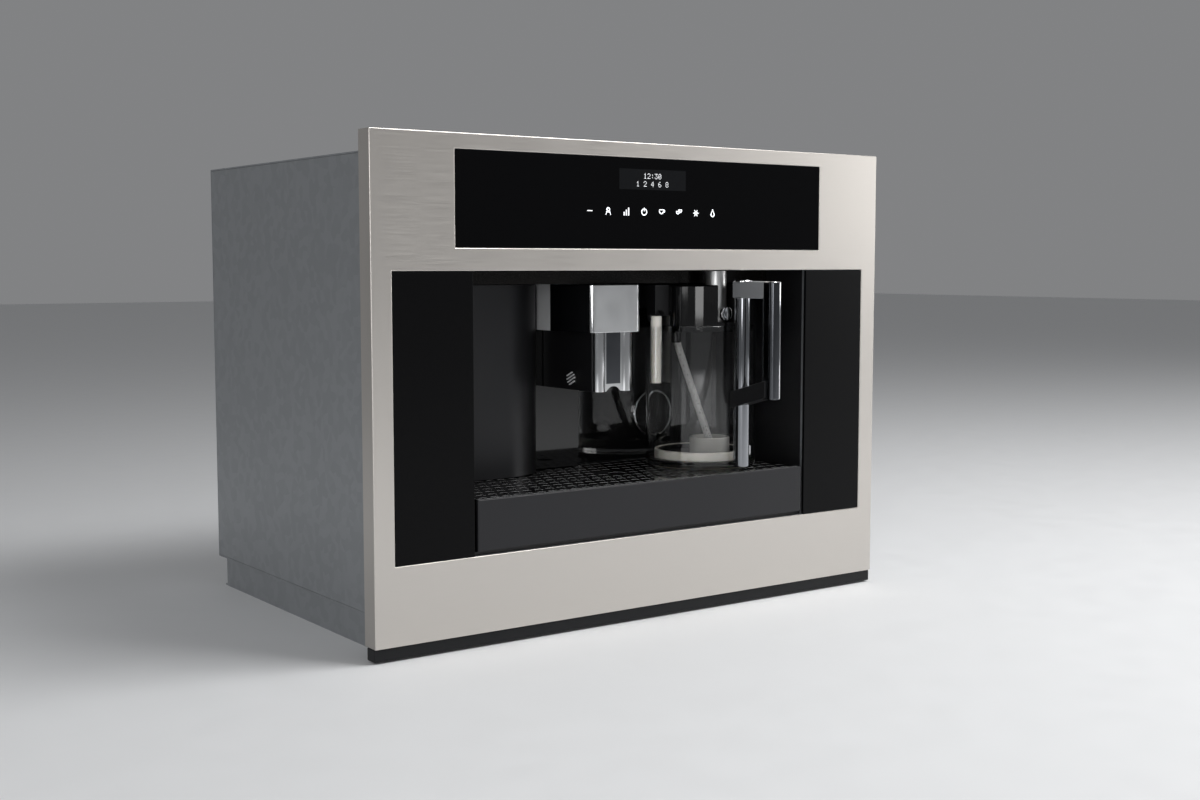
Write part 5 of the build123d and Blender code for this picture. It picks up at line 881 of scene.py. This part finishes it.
# ---------------------------------------------------------------- coffee spout
class MACHINE_OT_spout(bpy.types.Operator):
    """Builds the chrome housing, the sliding carriage and the two-nozzle cover"""

    bl_idname = "machine.spout"
    bl_label = "Coffee spout"

    def execute(self, context):
        (left, right), (front, back), (low, high) = node_span("spout_housing")
        corner = 6.5
        outline = (
            [(left, back)]
            + arc_points((left + corner, front + corner), corner, 180, 270, 12)
            + arc_points((right - corner, front + corner), corner, 270, 360, 12)
            + [(right, back)]
        )
        bm = bmesh.new()
        faces = add_prism(bm, outline, (low, high))
        rear = spot(0, back - 0.1, 0).y
        open_sides = [f for f in faces if f.normal.z < -0.9 or f.calc_center_median().y > rear]
        top = max(faces, key=lambda f: f.calc_center_median().z)
        bmesh.ops.delete(bm, geom=open_sides, context="FACES")
        bmesh.ops.recalc_face_normals(bm, faces=bm.faces[:])
        if top.normal.z < 0:
            bmesh.ops.reverse_faces(bm, faces=bm.faces[:])
        # The left side is chrome darkened with painted shade, with a painted reflection, a pale band, at its
        # far end.
        band = back - 25.0
        cut_plane(bm, spot(0, band, 0), (0, 1, 0))
        for face in bm.faces:
            if face.normal.x < -0.9:
                face.material_index = 2 if face.calc_center_median().y > spot(0, band, 0).y else 1
            elif face.normal.y < -0.9:
                face.material_index = 3
        place(
            "chrome_spout_housing", bm, "service_door",
            ["polished_chrome", "shade_painted_chrome", "pale_ribs_and_painted_reflection", "satin_chrome"], ["spout_housing"],
            bevel=0.6, bevel_steps=3, solidify=1.7, fix=False
        )

        (left, right), (front, back), (low, high) = node_span("nozzle_cover")
        radius, web, arch_rise, arch_radius, outlet_depth = 7.0, 45.5, 5.0, 9.0, 57.0
        columns = (left + radius, right - radius)
        meet = math.degrees(math.asin((back - web) / radius))
        outline = (
            arc_points((columns[0], back), radius, 180, 360 - meet, 16)
            + [(SPOUT_X + x, web) for x in (-8.5, -7, -5.5, -4, -2, 0, 2, 4, 5.5, 7, 8.5)]
            + arc_points((columns[1], back), radius, 180 + meet, 360, 16)
        )
        bm = bmesh.new()
        add_prism(bm, outline, (low, high))
        arch_centre = low + arch_rise - arch_radius
        for vert in bm.verts:
            across = vert.co.x / MM - SPOUT_X
            on_web = abs(vert.co.y / MM + ORIGIN_DEPTH - web) < 0.01
            if on_web and abs(vert.co.z / MM - low) < 0.01 and abs(across) < arch_radius:
                vert.co.z = max(low, arch_centre + math.sqrt(arch_radius**2 - across**2)) * MM
        bmesh.ops.triangulate(bm, faces=[f for f in bm.faces if f.normal.z < -0.4 and len(f.verts) > 4])
        # A band of chrome darkened with painted shade joins the columns above the arch.
        band = spot(0, 0, low + 7.5).z
        cut_plane(bm, (0, 0, band), (0, 0, 1))
        for face in bm.faces:
            middle = face.calc_center_median()
            web_face = face.normal.y < -0.99 and abs(middle.x / MM - SPOUT_X) < 8.6 and middle.z > band
            face.material_index = int(web_face)
        place(
            "chrome_nozzle_cover", bm, "coffee_spout", ["polished_chrome", "shade_painted_chrome"], ["nozzle_cover"],
            bevel=0.5, bevel_steps=3
        )

        (left, right), (front, back), (low, high) = node_span("spout_carriage")
        left += 3.0
        bm = bmesh.new()
        neck_back = DOOR_WALL_DEPTH + DOOR_WALL + GUIDE_PLAY
        add_block(bm, (left, right), (front, DOOR_WALL_DEPTH - GUIDE_PLAY), (low, high), 1.5, 4)
        add_block(bm, (SPOUT_X - 5.7, SPOUT_X + 5.7), (DOOR_WALL_DEPTH - 1.0, neck_back), GUIDE_BLOCK, 0.4, 2)
        add_block(bm, (SPOUT_X - 14.7, SPOUT_X + 14.7), (neck_back, back), GUIDE_BLOCK, 0.6, 2)
        # The thumb grip is a disc with four slanted ribs.
        grip_z, grip_depth, rib_reach, rib_pitch = 230.0, 82.0, 6.8, 3.1
        add_turned(
            bm, [(0, 0), (rib_reach, 0), (7.2, 0.4), (7.2, 3.0), (0, 3.0)],
            spot(left - 1.4, grip_depth, grip_z), "X", 36
        )
        for rib in (-1.5, -0.5, 0.5, 1.5):
            reach = math.sqrt(rib_reach**2 - (rib * rib_pitch) ** 2)
            rib_z = grip_z + rib * rib_pitch
            before = set(bm.verts)
            add_block(
                bm, (left - 3.0, left - 1.0), (grip_depth - reach, grip_depth + reach),
                (rib_z - 0.65, rib_z + 0.65), 0.4, 2, mark=1
            )
            bmesh.ops.rotate(
                bm, verts=[vert for vert in bm.verts if vert not in before],
                cent=spot(left, grip_depth, grip_z), matrix=Matrix.Rotation(math.radians(-25), 3, "X")
            )
        for x in columns:
            add_turned(
                bm, [(2.5, 0.0), (4.6, 0.0), (5.0, 0.4), (5.0, 3.0), (2.5, 3.0), (2.5, 0.0)],
                spot(x, outlet_depth, low), steps=28
            )
        place(
            "spout_slider", bm, "coffee_spout", ["moulded_black", "pale_ribs_and_painted_reflection"], ["spout_carriage"],
        )
        return {"FINISHED"}


# ---------------------------------------------------------------- drip tray
class MACHINE_OT_tray(bpy.types.Operator):
    """Builds the tray's satin front, the grille with its staggered slots and the float"""

    bl_idname = "machine.tray"
    bl_label = "Drip tray"

    def execute(self, context):
        sizes = context.scene.coffee_grille
        (left, right), (front, back), (low, high) = node_span("drip_tray_front")
        bm = bmesh.new()
        add_block(bm, (left, right), (front, back), (low, high), 1.2, 4)
        place("tray_front_plate", bm, "drip_tray", ["tray_enamel"], ["drip_tray_front"])

        (left, right), (front, back), (low, high) = node_span("drip_grille")
        length, width = sizes.slot_length / MM, sizes.slot_width / MM
        pitch_x, pitch_depth, rows, count = 12.5, 15.0, 10, 30
        first_row = front + 3.5
        slots = []
        for row in range(rows):
            depth = first_row + row * pitch_depth
            shift = pitch_x / 2 * (row % 2) - pitch_x / 4
            for column in range(count):
                slots.append((shift + (column - (count - 1) / 2) * pitch_x, depth))
        # Slots near the float's well are left out.
        float_x, float_depth, float_radius, float_square = 10.0, 70.0, 8.8, 10.0
        clear_x, clear_depth = float_square + length / 2 + 1.0, float_square + width / 2 + 1.0
        slots = [s for s in slots if abs(s[0] - float_x) > clear_x or abs(s[1] - float_depth) > clear_depth]
        bm = bmesh.new()
        corners = [(left, front), (right, front), (right, back), (left, back)]
        bm.faces.new([bm.verts.new(spot(x, d, high)) for x, d in corners])
        for x in sorted({round(s[0] + side * length / 2, 4) for s in slots for side in (-1, 1)}):
            cut_plane(bm, spot(x, 0, 0), (1, 0, 0))
        for depth in sorted({round(s[1] + side * width / 2, 4) for s in slots for side in (-1, 1)}):
            cut_plane(bm, spot(0, depth, 0), (0, 1, 0))
        for side in (-float_square, float_square):
            cut_plane(bm, spot(float_x + side, 0, 0), (1, 0, 0))
            cut_plane(bm, spot(0, float_depth + side, 0), (0, 1, 0))
        doomed = []
        for face in bm.faces:
            centre = face.calc_center_median() / MM
            depth = centre.y + ORIGIN_DEPTH
            in_slot = any(abs(centre.x - x) < length / 2 and abs(depth - d) < width / 2 for x, d in slots)
            if in_slot or max(abs(centre.x - float_x), abs(depth - float_depth)) < float_square:
                doomed.append(face)
        bmesh.ops.delete(bm, geom=doomed, context="FACES")
        # The float's round hole is joined to a square one by a ring of faces.
        float_at = spot(float_x, float_depth, high)
        reach = (float_square + 0.01) * MM

        def near_float(vert):
            return max(abs(c) for c in (vert.co - float_at).xy) < reach

        def square_edges():
            return [edge for edge in bm.edges if edge.is_boundary and all(map(near_float, edge.verts))]

        bmesh.ops.subdivide_edges(bm, edges=square_edges(), cuts=1)
        square, mates = square_edges(), {}
        for vert in {v for edge in square for v in edge.verts}:
            aim = (vert.co - float_at).xy.normalized() * float_radius * MM
            mates[vert] = bm.verts.new(float_at + aim.to_3d())
        for edge in square:
            one, other = edge.verts
            bm.faces.new((one, other, mates[other], mates[one]))
        made = bmesh.ops.extrude_face_region(bm, geom=bm.faces[:], use_keep_orig=True)
        bmesh.ops.translate(bm, vec=(0, 0, (low - high) * MM), verts=moved_verts(made))
        bmesh.ops.recalc_face_normals(bm, faces=bm.faces[:])

        def folds():
            return [edge for edge in bm.edges if len(edge.link_faces) == 2 and edge.calc_face_angle() > 1.0]

        uprights = [edge for edge in folds() if abs(edge.verts[0].co.z - edge.verts[1].co.z) > 1e-4]
        round_edges(bm, uprights, 1.9, 3)
        rims = [edge for edge in folds() if all(abs(v.co.z - high * MM) < 1e-6 for v in edge.verts)]
        # The punched edges carry a painted highlight, pale against the gloss.
        round_edges(bm, rims, 1.1, 2, mark=1)
        place(
            "drip_grille_plate", bm, "drip_tray", ["gloss_black", "highlight_painted_rim"], ["drip_grille"]
        )
        paint_nodes({"drip_tray_bin": "moulded_black", "drip_float": "grey_moulding"})
        return {"FINISHED"}


# ---------------------------------------------------------------- milk jug
(JUG_LEFT, JUG_RIGHT), (JUG_FRONT, JUG_BACK), _ = node_span("jug_glass")
JUG_X, JUG_DEPTH = (JUG_LEFT + JUG_RIGHT) / 2, (JUG_FRONT + JUG_BACK) / 2
JUG_RADIUS = (JUG_RIGHT - JUG_LEFT) / 2


class MACHINE_OT_jug(bpy.types.Operator):
    """Builds the milk jug: glass, cream base, lid, intake tube and its elbow"""

    bl_idname = "machine.jug"
    bl_label = "Milk jug"

    def execute(self, context):
        _, _, (low, high) = node_span("jug_glass")
        centre = spot(JUG_X, JUG_DEPTH, 0)
        outer, inner = JUG_RADIUS, JUG_RADIUS - 2.2
        bm = bmesh.new()
        add_turned(
            bm,
            [
                (0, low + 0.8), (outer - 12, low + 0.8), (outer - 8, low), (outer - 3.5, low),
                (outer - 1.4, low + 0.6), (outer - 0.3, low + 1.8), (outer, low + 3.5), (outer, high - 0.8),
                (outer - 0.4, high - 0.2), (outer - 1.1, high), (inner + 0.4, high - 0.2),
                (inner, high - 0.8),
                (inner, low + 9.5), (inner - 0.8, low + 7.5), (inner - 2.8, low + 6.6), (0, low + 6.5),
            ],
            centre,
            steps=120,
        )
        place("jug_glass_wall", bm, "milk_jug", ["clear_glass"], ["jug_glass"])

        (left, right), _, (low, high) = node_span("jug_base")
        outer = (right - left) / 2
        inner, ring_top, cup, cup_x = outer - 4.0, low + 10.0, 21.0, JUG_X + 12.5
        bm = bmesh.new()
        add_turned(
            bm,
            [
                (0, low + 0.02), (outer - 1, low + 0.02), (outer, low + 1), (outer, ring_top - 1.2),
                (outer - 0.8, ring_top - 0.3), (outer - 2, ring_top), (inner + 0.6, ring_top - 0.3),
                (inner, ring_top - 1.0), (inner, low + 5), (inner - 1, low + 4), (0, low + 4),
            ],
            centre,
            steps=96,
        )
        # The inside of the ring is lined with a black mat.
        for face in bm.faces:
            middle = face.calc_center_median() - centre
            if middle.xy.length < (inner + 0.2) * MM and middle.z > (low + 3.9) * MM:
                face.material_index = 1
        add_turned(
            bm,
            [
                (cup - 2, low + 3.5), (cup, low + 3.5), (cup, high - 0.8), (cup - 0.4, high - 0.2),
                (cup - 1.0, high), (cup - 1.6, high - 0.2), (cup - 2, high - 0.8), (cup - 2, low + 3.5),
            ],
            spot(cup_x, JUG_DEPTH, 0),
            steps=64,
            mark=2,
        )
        place(
            "jug_base_ring", bm, "milk_jug", ["cream_moulding", "moulded_black", "milky_moulding"],
            ["jug_base"]
        )

        dress("jug_lid", "jug_lid_cap", "milk_jug", "gloss_black", 0.5)

        # The tube leaves its elbow downwards and then slants to the cup.
        bm = bmesh.new()
        _, _, (_, top) = node_span("milk_intake_tube")
        tube_x, tube_run, tube_foot, bend = 89.0, 48.2, 151.5, top - 8
        points = [spot(tube_x, JUG_DEPTH, top - 3), spot(tube_x + 0.6, JUG_DEPTH, bend)]
        for step in range(1, 13):
            share = step / 12
            points.append(spot(tube_x + tube_run * share, JUG_DEPTH, bend + (tube_foot - bend) * share**0.97))
        add_tube(bm, points, 3.8)
        add_turned(
            bm, [(0, top - 12), (4.6, top - 12), (5, top - 11.4), (5, top - 0.2), (4.6, top), (0, top)],
            spot(tube_x, JUG_DEPTH, 0), steps=32, mark=1
        )
        place(
            "milk_suction_tube", bm, "milk_jug", ["tube_clear", "moulded_black"], ["milk_intake_tube"],
        )
        return {"FINISHED"}


class MACHINE_OT_frother(bpy.types.Operator):
    """Builds the frother head, its froth knob and the swinging milk spout"""

    bl_idname = "machine.frother"
    bl_label = "Frother and milk spout"

    def execute(self, context):
        bm = copied("frother_head")
        column, column_reach = spot(113.0, 42.0, 0), 11.4 * MM
        for face in bm.faces:
            centre = face.calc_center_median()
            face.material_index = int((centre.xy - column.xy).length < column_reach)
        place(
            "frother_body", bm, "milk_jug", ["moulded_black", "satin_steel"], ["frother_head"],
            bevel=0.5
        )

        (left, right), (front, back), (low, high) = node_span("froth_knob")
        middle = ((left + right) / 2, (low + high) / 2)
        length = back - front
        bm = bmesh.new()
        add_turned(
            bm,
            [
                (0, 0), (4.4, 0), (4.4, 2.6), (5.2, 3.2), (7.0, 3.3), (7.5, 3.8), (7.5, length - 1.2),
                (7.0, length - 0.4), (6.0, length), (3, length - 0.25), (0, length - 0.4),
            ],
            spot(middle[0], back, middle[1]),
            "Y",
            48,
        )
        add_block(
            bm, (middle[0] - 0.5, middle[0] + 0.5), (front, front + 2.0), (middle[1] + 2.0, middle[1] + 6.0),
            0.2, 2
        )
        place("froth_dial", bm, "froth_knob", ["polished_chrome"], ["froth_knob"])

        (left, right), (front, back), (low, high) = node_span("milk_spout")
        x, depth, pivot_z = (left + right) / 2, (front + back) / 2, high - 6.5
        centre = spot(x, depth, 0)
        bm = bmesh.new()
        add_turned(
            bm,
            [
                (2.5, low + 0.2), (4.8, low), (5.3, low + 0.5), (5.6, pivot_z + 0.3), (5.1, pivot_z + 0.8),
                (0, pivot_z + 0.8), (0, low + 12), (2.5, low + 12), (2.5, low + 0.2),
            ],
            centre,
            steps=40,
        )
        add_turned(
            bm, [(0, 0), (6.1, 0), (6.5, 0.4), (6.5, 5.0), (6.1, 5.4), (0, 5.4)], spot(x, back, pivot_z), "Y",
            40, mark=1
        )
        add_turned(
            bm,
            [(5.75, pivot_z - 10), (6.3, pivot_z - 10), (7.9, low + 1.5), (7.6, low + 1), (7.3, low + 1.5),
             (5.75, pivot_z - 10)],
            centre,
            steps=40,
            mark=2,
        )
        place(
            "swinging_milk_spout", bm, "milk_spout", ["cream_moulding", "moulded_black", "clear_glass"],
            ["milk_spout"]
        )
        return {"FINISHED"}


class MACHINE_OT_handle(bpy.types.Operator):
    """Builds the jug's handle: chrome upright, bridge, grip bar and black arm"""

    bl_idname = "machine.handle"
    bl_label = "Jug handle"

    def execute(self, context):
        (left, right), (front, back), (low, high) = node_span("jug_handle_column")
        x, radius = (left + right) / 2, (right - left) / 2
        depth = front + radius
        glass_front = JUG_DEPTH - JUG_RADIUS - 0.2
        bm = bmesh.new()
        # The column is chrome darkened with painted shade.
        add_turned(
            bm,
            [
                (0, low), (radius - 1.4, low), (radius - 0.4, low + 0.4), (radius, low + 1.4),
                (radius, high), (0, high),
            ],
            spot(x, depth, 0),
            steps=56,
        )
        # The web block and the lug are light grey with painted light, standing in for lit chrome.
        add_block(bm, (x - 4, x + 4), (depth, glass_front), (high - 77, high), 0.6, 2, mark=1)
        add_block(bm, (x + 5, x + 11.5), (depth - 2, glass_front), (low + 11, low + 21), 1.2, 3, mark=1)
        place(
            "handle_upright", bm, "milk_jug", ["shaded_chrome", "light_painted_chrome"], ["jug_handle_column"],
        )

        _, (front, _), (_, top) = node_span("jug_handle_grip")
        half, corner, reach, bridge_top, cap_depth = 7.0, 5.5, 17.5, top - 1.5, 9.5
        low = bridge_top - 116.0
        corners = [
            (x + side_x * (half - corner), front + reach / 2 + side_d * (reach / 2 - corner), start)
            for side_x, side_d, start in ((-1, -1, 180), (1, -1, 270), (1, 1, 0), (-1, 1, 90))
        ]
        outline = []
        for corner_x, corner_depth, start in corners:
            outline += arc_points((corner_x, corner_depth), corner, start, start + 90, 8)
        bm = bmesh.new()
        faces = add_prism(bm, outline, (low, bridge_top))
        round_edges(bm, {e for f in faces if len(f.verts) > 4 for e in f.edges}, 1.6, 3)
        # Faces that turn right or up are bright chrome; the others are chrome darkened with painted shade.
        for face in bm.faces:
            face.material_index = 0 if face.normal.x > 0.25 or face.normal.z > 0.5 else 2
        bridge_x = (x - half + 0.3, x + half - 0.3)
        # The bridge is light grey with painted light, standing in for lit chrome.
        add_block(bm, bridge_x, (front + 5, glass_front), (high, bridge_top), 1.4, 3, mark=3)
        add_turned(
            bm,
            [
                (0, top - 2.5), (9.5, top - 2.5), (9.5, top - 1.3), (9.0, top - 0.7), (6.0, top - 0.2),
                (0, top),
            ],
            spot(x, cap_depth, 0),
            steps=48,
        )
        arm_low = low + 2.0
        arm_depths = (front + reach / 2, glass_front)
        add_slab(
            bm,
            [
                (arm_depths[0], arm_low), (arm_depths[0], arm_low + 17),
                (arm_depths[1], arm_low + 3), (arm_depths[1], arm_low - 14),
            ],
            (x - 8.8, x + 8.8),
            1.2,
            mark=1,
        )
        place(
            "handle_grip", bm, "milk_jug",
            ["polished_chrome", "moulded_black", "shade_painted_chrome", "light_painted_chrome"], ["jug_handle_grip"],
        )
        return {"FINISHED"}


# ---------------------------------------------------------------- body
class MACHINE_OT_body(bpy.types.Operator):
    """Finishes the body's sheets, frame, rails and screws"""

    bl_idname = "machine.body"
    bl_label = "Body"

    def execute(self, context):
        sheets = (
            "mounting_plate", "outer_rails", "middle_rails", "inner_rails", "chassis_base", "left_side_panel",
            "right_side_panel", "rear_panel", "top_panel", "front_frame",
        )
        paint_nodes({**dict.fromkeys(sheets, "zinc_sheet"), "panel_screws": "polished_steel"})
        return {"FINISHED"}


class MACHINE_OT_insides(bpy.types.Operator):
    """Finishes what stands inside the body"""

    bl_idname = "machine.insides"
    bl_label = "Insides"

    def execute(self, context):
        paint_nodes(
            {
                "control_board": "circuit_board",
                "equipment_deck": "zinc_sheet",
                "bean_hopper": "smoked_clear",
                "grinder_body": "cast_aluminium",
                "grinder_burrs": "polished_steel",
                "brew_unit": "grey_moulding",
                "brew_drive": "pump_plastic",
                "grounds_container": "moulded_black",
                "steam_boiler": "cast_aluminium",
                "coffee_boiler": "cast_aluminium",
                "pump": "pump_plastic",
                "water_hoses": "hose_rubber",
                "power_board": "circuit_board",
            }
        )
        return {"FINISHED"}


class MACHINE_OT_tank(bpy.types.Operator):
    """Finishes the water tank and its lid"""

    bl_idname = "machine.tank"
    bl_label = "Water tank"

    def execute(self, context):
        dress("water_tank", "tank_shell", "water_tank", "smoked_clear")
        dress("tank_lid", "tank_cover", "water_tank", "grey_moulding", 0.6)
        return {"FINISHED"}


class MACHINE_OT_top(bpy.types.Operator):
    """Builds the two lids and the grind knob on the top"""

    bl_idname = "machine.top"
    bl_label = "Lids and grind knob"

    def execute(self, context):
        for node in ("hopper_lid", "powder_lid"):
            dress(node, node + "_plate", node, "moulded_black", 0.7)
        dress("grind_knob", "grind_dial", "grind_knob", "moulded_black", 0.4)
        return {"FINISHED"}


class MACHINE_OT_inlet(bpy.types.Operator):
    """Builds the mains inlet and its rocker"""

    bl_idname = "machine.inlet"
    bl_label = "Mains inlet"

    def execute(self, context):
        dress("mains_inlet", "mains_socket_shell", "machine", "moulded_black", 0.4)
        dress("power_switch", "power_rocker", "power_switch", "moulded_black", 0.4)
        return {"FINISHED"}


# ---------------------------------------------------------------- studio
CAMERA_PLACE = (-0.8866, -1.3585, 0.3424)
CAMERA_YAW = 35.689
CAMERA_PITCH = 5.116
CAMERA_LENS = 45.716


def add_lamp(name, place_at, aim, size, power):
    """Adds a soft rectangular lamp that points at a spot."""
    lamp = bpy.data.lights.new(name, "AREA")
    lamp.shape = "RECTANGLE"
    lamp.size, lamp.size_y = size
    lamp.energy = power * bpy.context.scene.coffee_stage.lamp_power
    holder = bpy.data.objects.new(name, lamp)
    holder.location = place_at
    holder.rotation_euler = (Vector(aim) - Vector(place_at)).to_track_quat("-Z", "Y").to_euler()
    bpy.context.scene.collection.objects.link(holder)


class MACHINE_OT_stage(bpy.types.Operator):
    """Sets up the pale floor, the soft lamps, the world and the camera"""

    bl_idname = "machine.stage"
    bl_label = "Studio"

    def execute(self, context):
        scene = context.scene
        bm = bmesh.new()
        bmesh.ops.create_grid(bm, x_segments=2, y_segments=2, size=12.0)
        mesh = bpy.data.meshes.new("floor")
        bm.to_mesh(mesh)
        bm.free()
        floor = bpy.data.objects.new("floor", mesh)
        scene.collection.objects.link(floor)
        material, tree, shader = base_finish("pale_floor", FLOOR, 0.6)
        shader.inputs["Base Color"].default_value = (*scene.coffee_stage.floor_colour, 1.0)
        vary_roughness(tree, shader, noise(tree, 40.0), 0.55, 0.7)
        mesh.materials.append(material)

        world = bpy.data.worlds.new("studio")
        world.use_nodes = True
        scene.world = world
        sky = world.node_tree.nodes["Background"]
        sky.inputs["Color"].default_value = linear("#C4C5C7")
        sky.inputs["Strength"].default_value = 0.4

        add_lamp("right_softbox", (3.5, -1.55, 0.8), (0.2, -0.2, 0.1), (1.9, 1.2), 34)
        add_lamp("front_softbox", (-1.9, -2.3, 0.95), (0.05, -0.15, 0.2), (0.9, 1.6), 20)
        add_lamp("left_softbox", (-2.4, -0.9, 1.1), (-0.2, -0.1, 0.2), (0.6, 1.8), 7)
        add_lamp("top_softbox", (0.8, -0.9, 1.9), (0.7, -0.8, 0.0), (1.2, 1.0), 39)

        camera = bpy.data.cameras.new("photo_camera")
        camera.lens = CAMERA_LENS
        camera.sensor_width = 36.0
        holder = bpy.data.objects.new("photo_camera", camera)
        holder.location = CAMERA_PLACE
        holder.rotation_euler = Euler((math.radians(90 - CAMERA_PITCH), 0, math.radians(-CAMERA_YAW)))
        scene.collection.objects.link(holder)
        scene.camera = holder
        scene.view_settings.view_transform = "Standard"
        return {"FINISHED"}


class MACHINE_PT_panel(bpy.types.Panel):
    """Lists the machine's pieces in the sidebar"""

    bl_label = "Coffee Machine"
    bl_idname = "MACHINE_PT_panel"
    bl_space_type = "VIEW_3D"
    bl_region_type = "UI"
    bl_category = "Coffee Machine"

    def draw(self, context):
        for group in ("coffee_finishes", "coffee_front", "coffee_grille", "coffee_stage"):
            settings = getattr(context.scene, group)
            for name in settings.__annotations__:
                self.layout.prop(settings, name)
        for operator in OPERATORS:
            self.layout.operator(operator.bl_idname)


OPERATORS = (
    MACHINE_OT_stage, MACHINE_OT_front, MACHINE_OT_controls, MACHINE_OT_flanks, MACHINE_OT_door,
    MACHINE_OT_recess, MACHINE_OT_spout, MACHINE_OT_tray, MACHINE_OT_jug, MACHINE_OT_frother,
    MACHINE_OT_handle, MACHINE_OT_body, MACHINE_OT_insides, MACHINE_OT_tank, MACHINE_OT_top, MACHINE_OT_inlet
)
GROUPS = {
    "coffee_finishes": FinishSettings, "coffee_front": FrontSettings, "coffee_grille": GrilleSettings,
    "coffee_stage": StageSettings
}
CLASSES = (*GROUPS.values(), *OPERATORS, MACHINE_PT_panel)


def register():
    """Registers the classes and puts the settings on the scene."""
    for item in CLASSES:
        bpy.utils.register_class(item)
    for name, group in GROUPS.items():
        setattr(bpy.types.Scene, name, PointerProperty(type=group))


def unregister():
    """Takes the settings and the classes away again."""
    for name in GROUPS:
        delattr(bpy.types.Scene, name)
    for item in reversed(CLASSES):
        bpy.utils.unregister_class(item)


def main():
    """Builds the machine and the studio."""
    register()
    for operator in OPERATORS:
        category, name = operator.bl_idname.split(".")
        getattr(getattr(bpy.ops, category), name)()


if __name__ == "__main__":
    main()
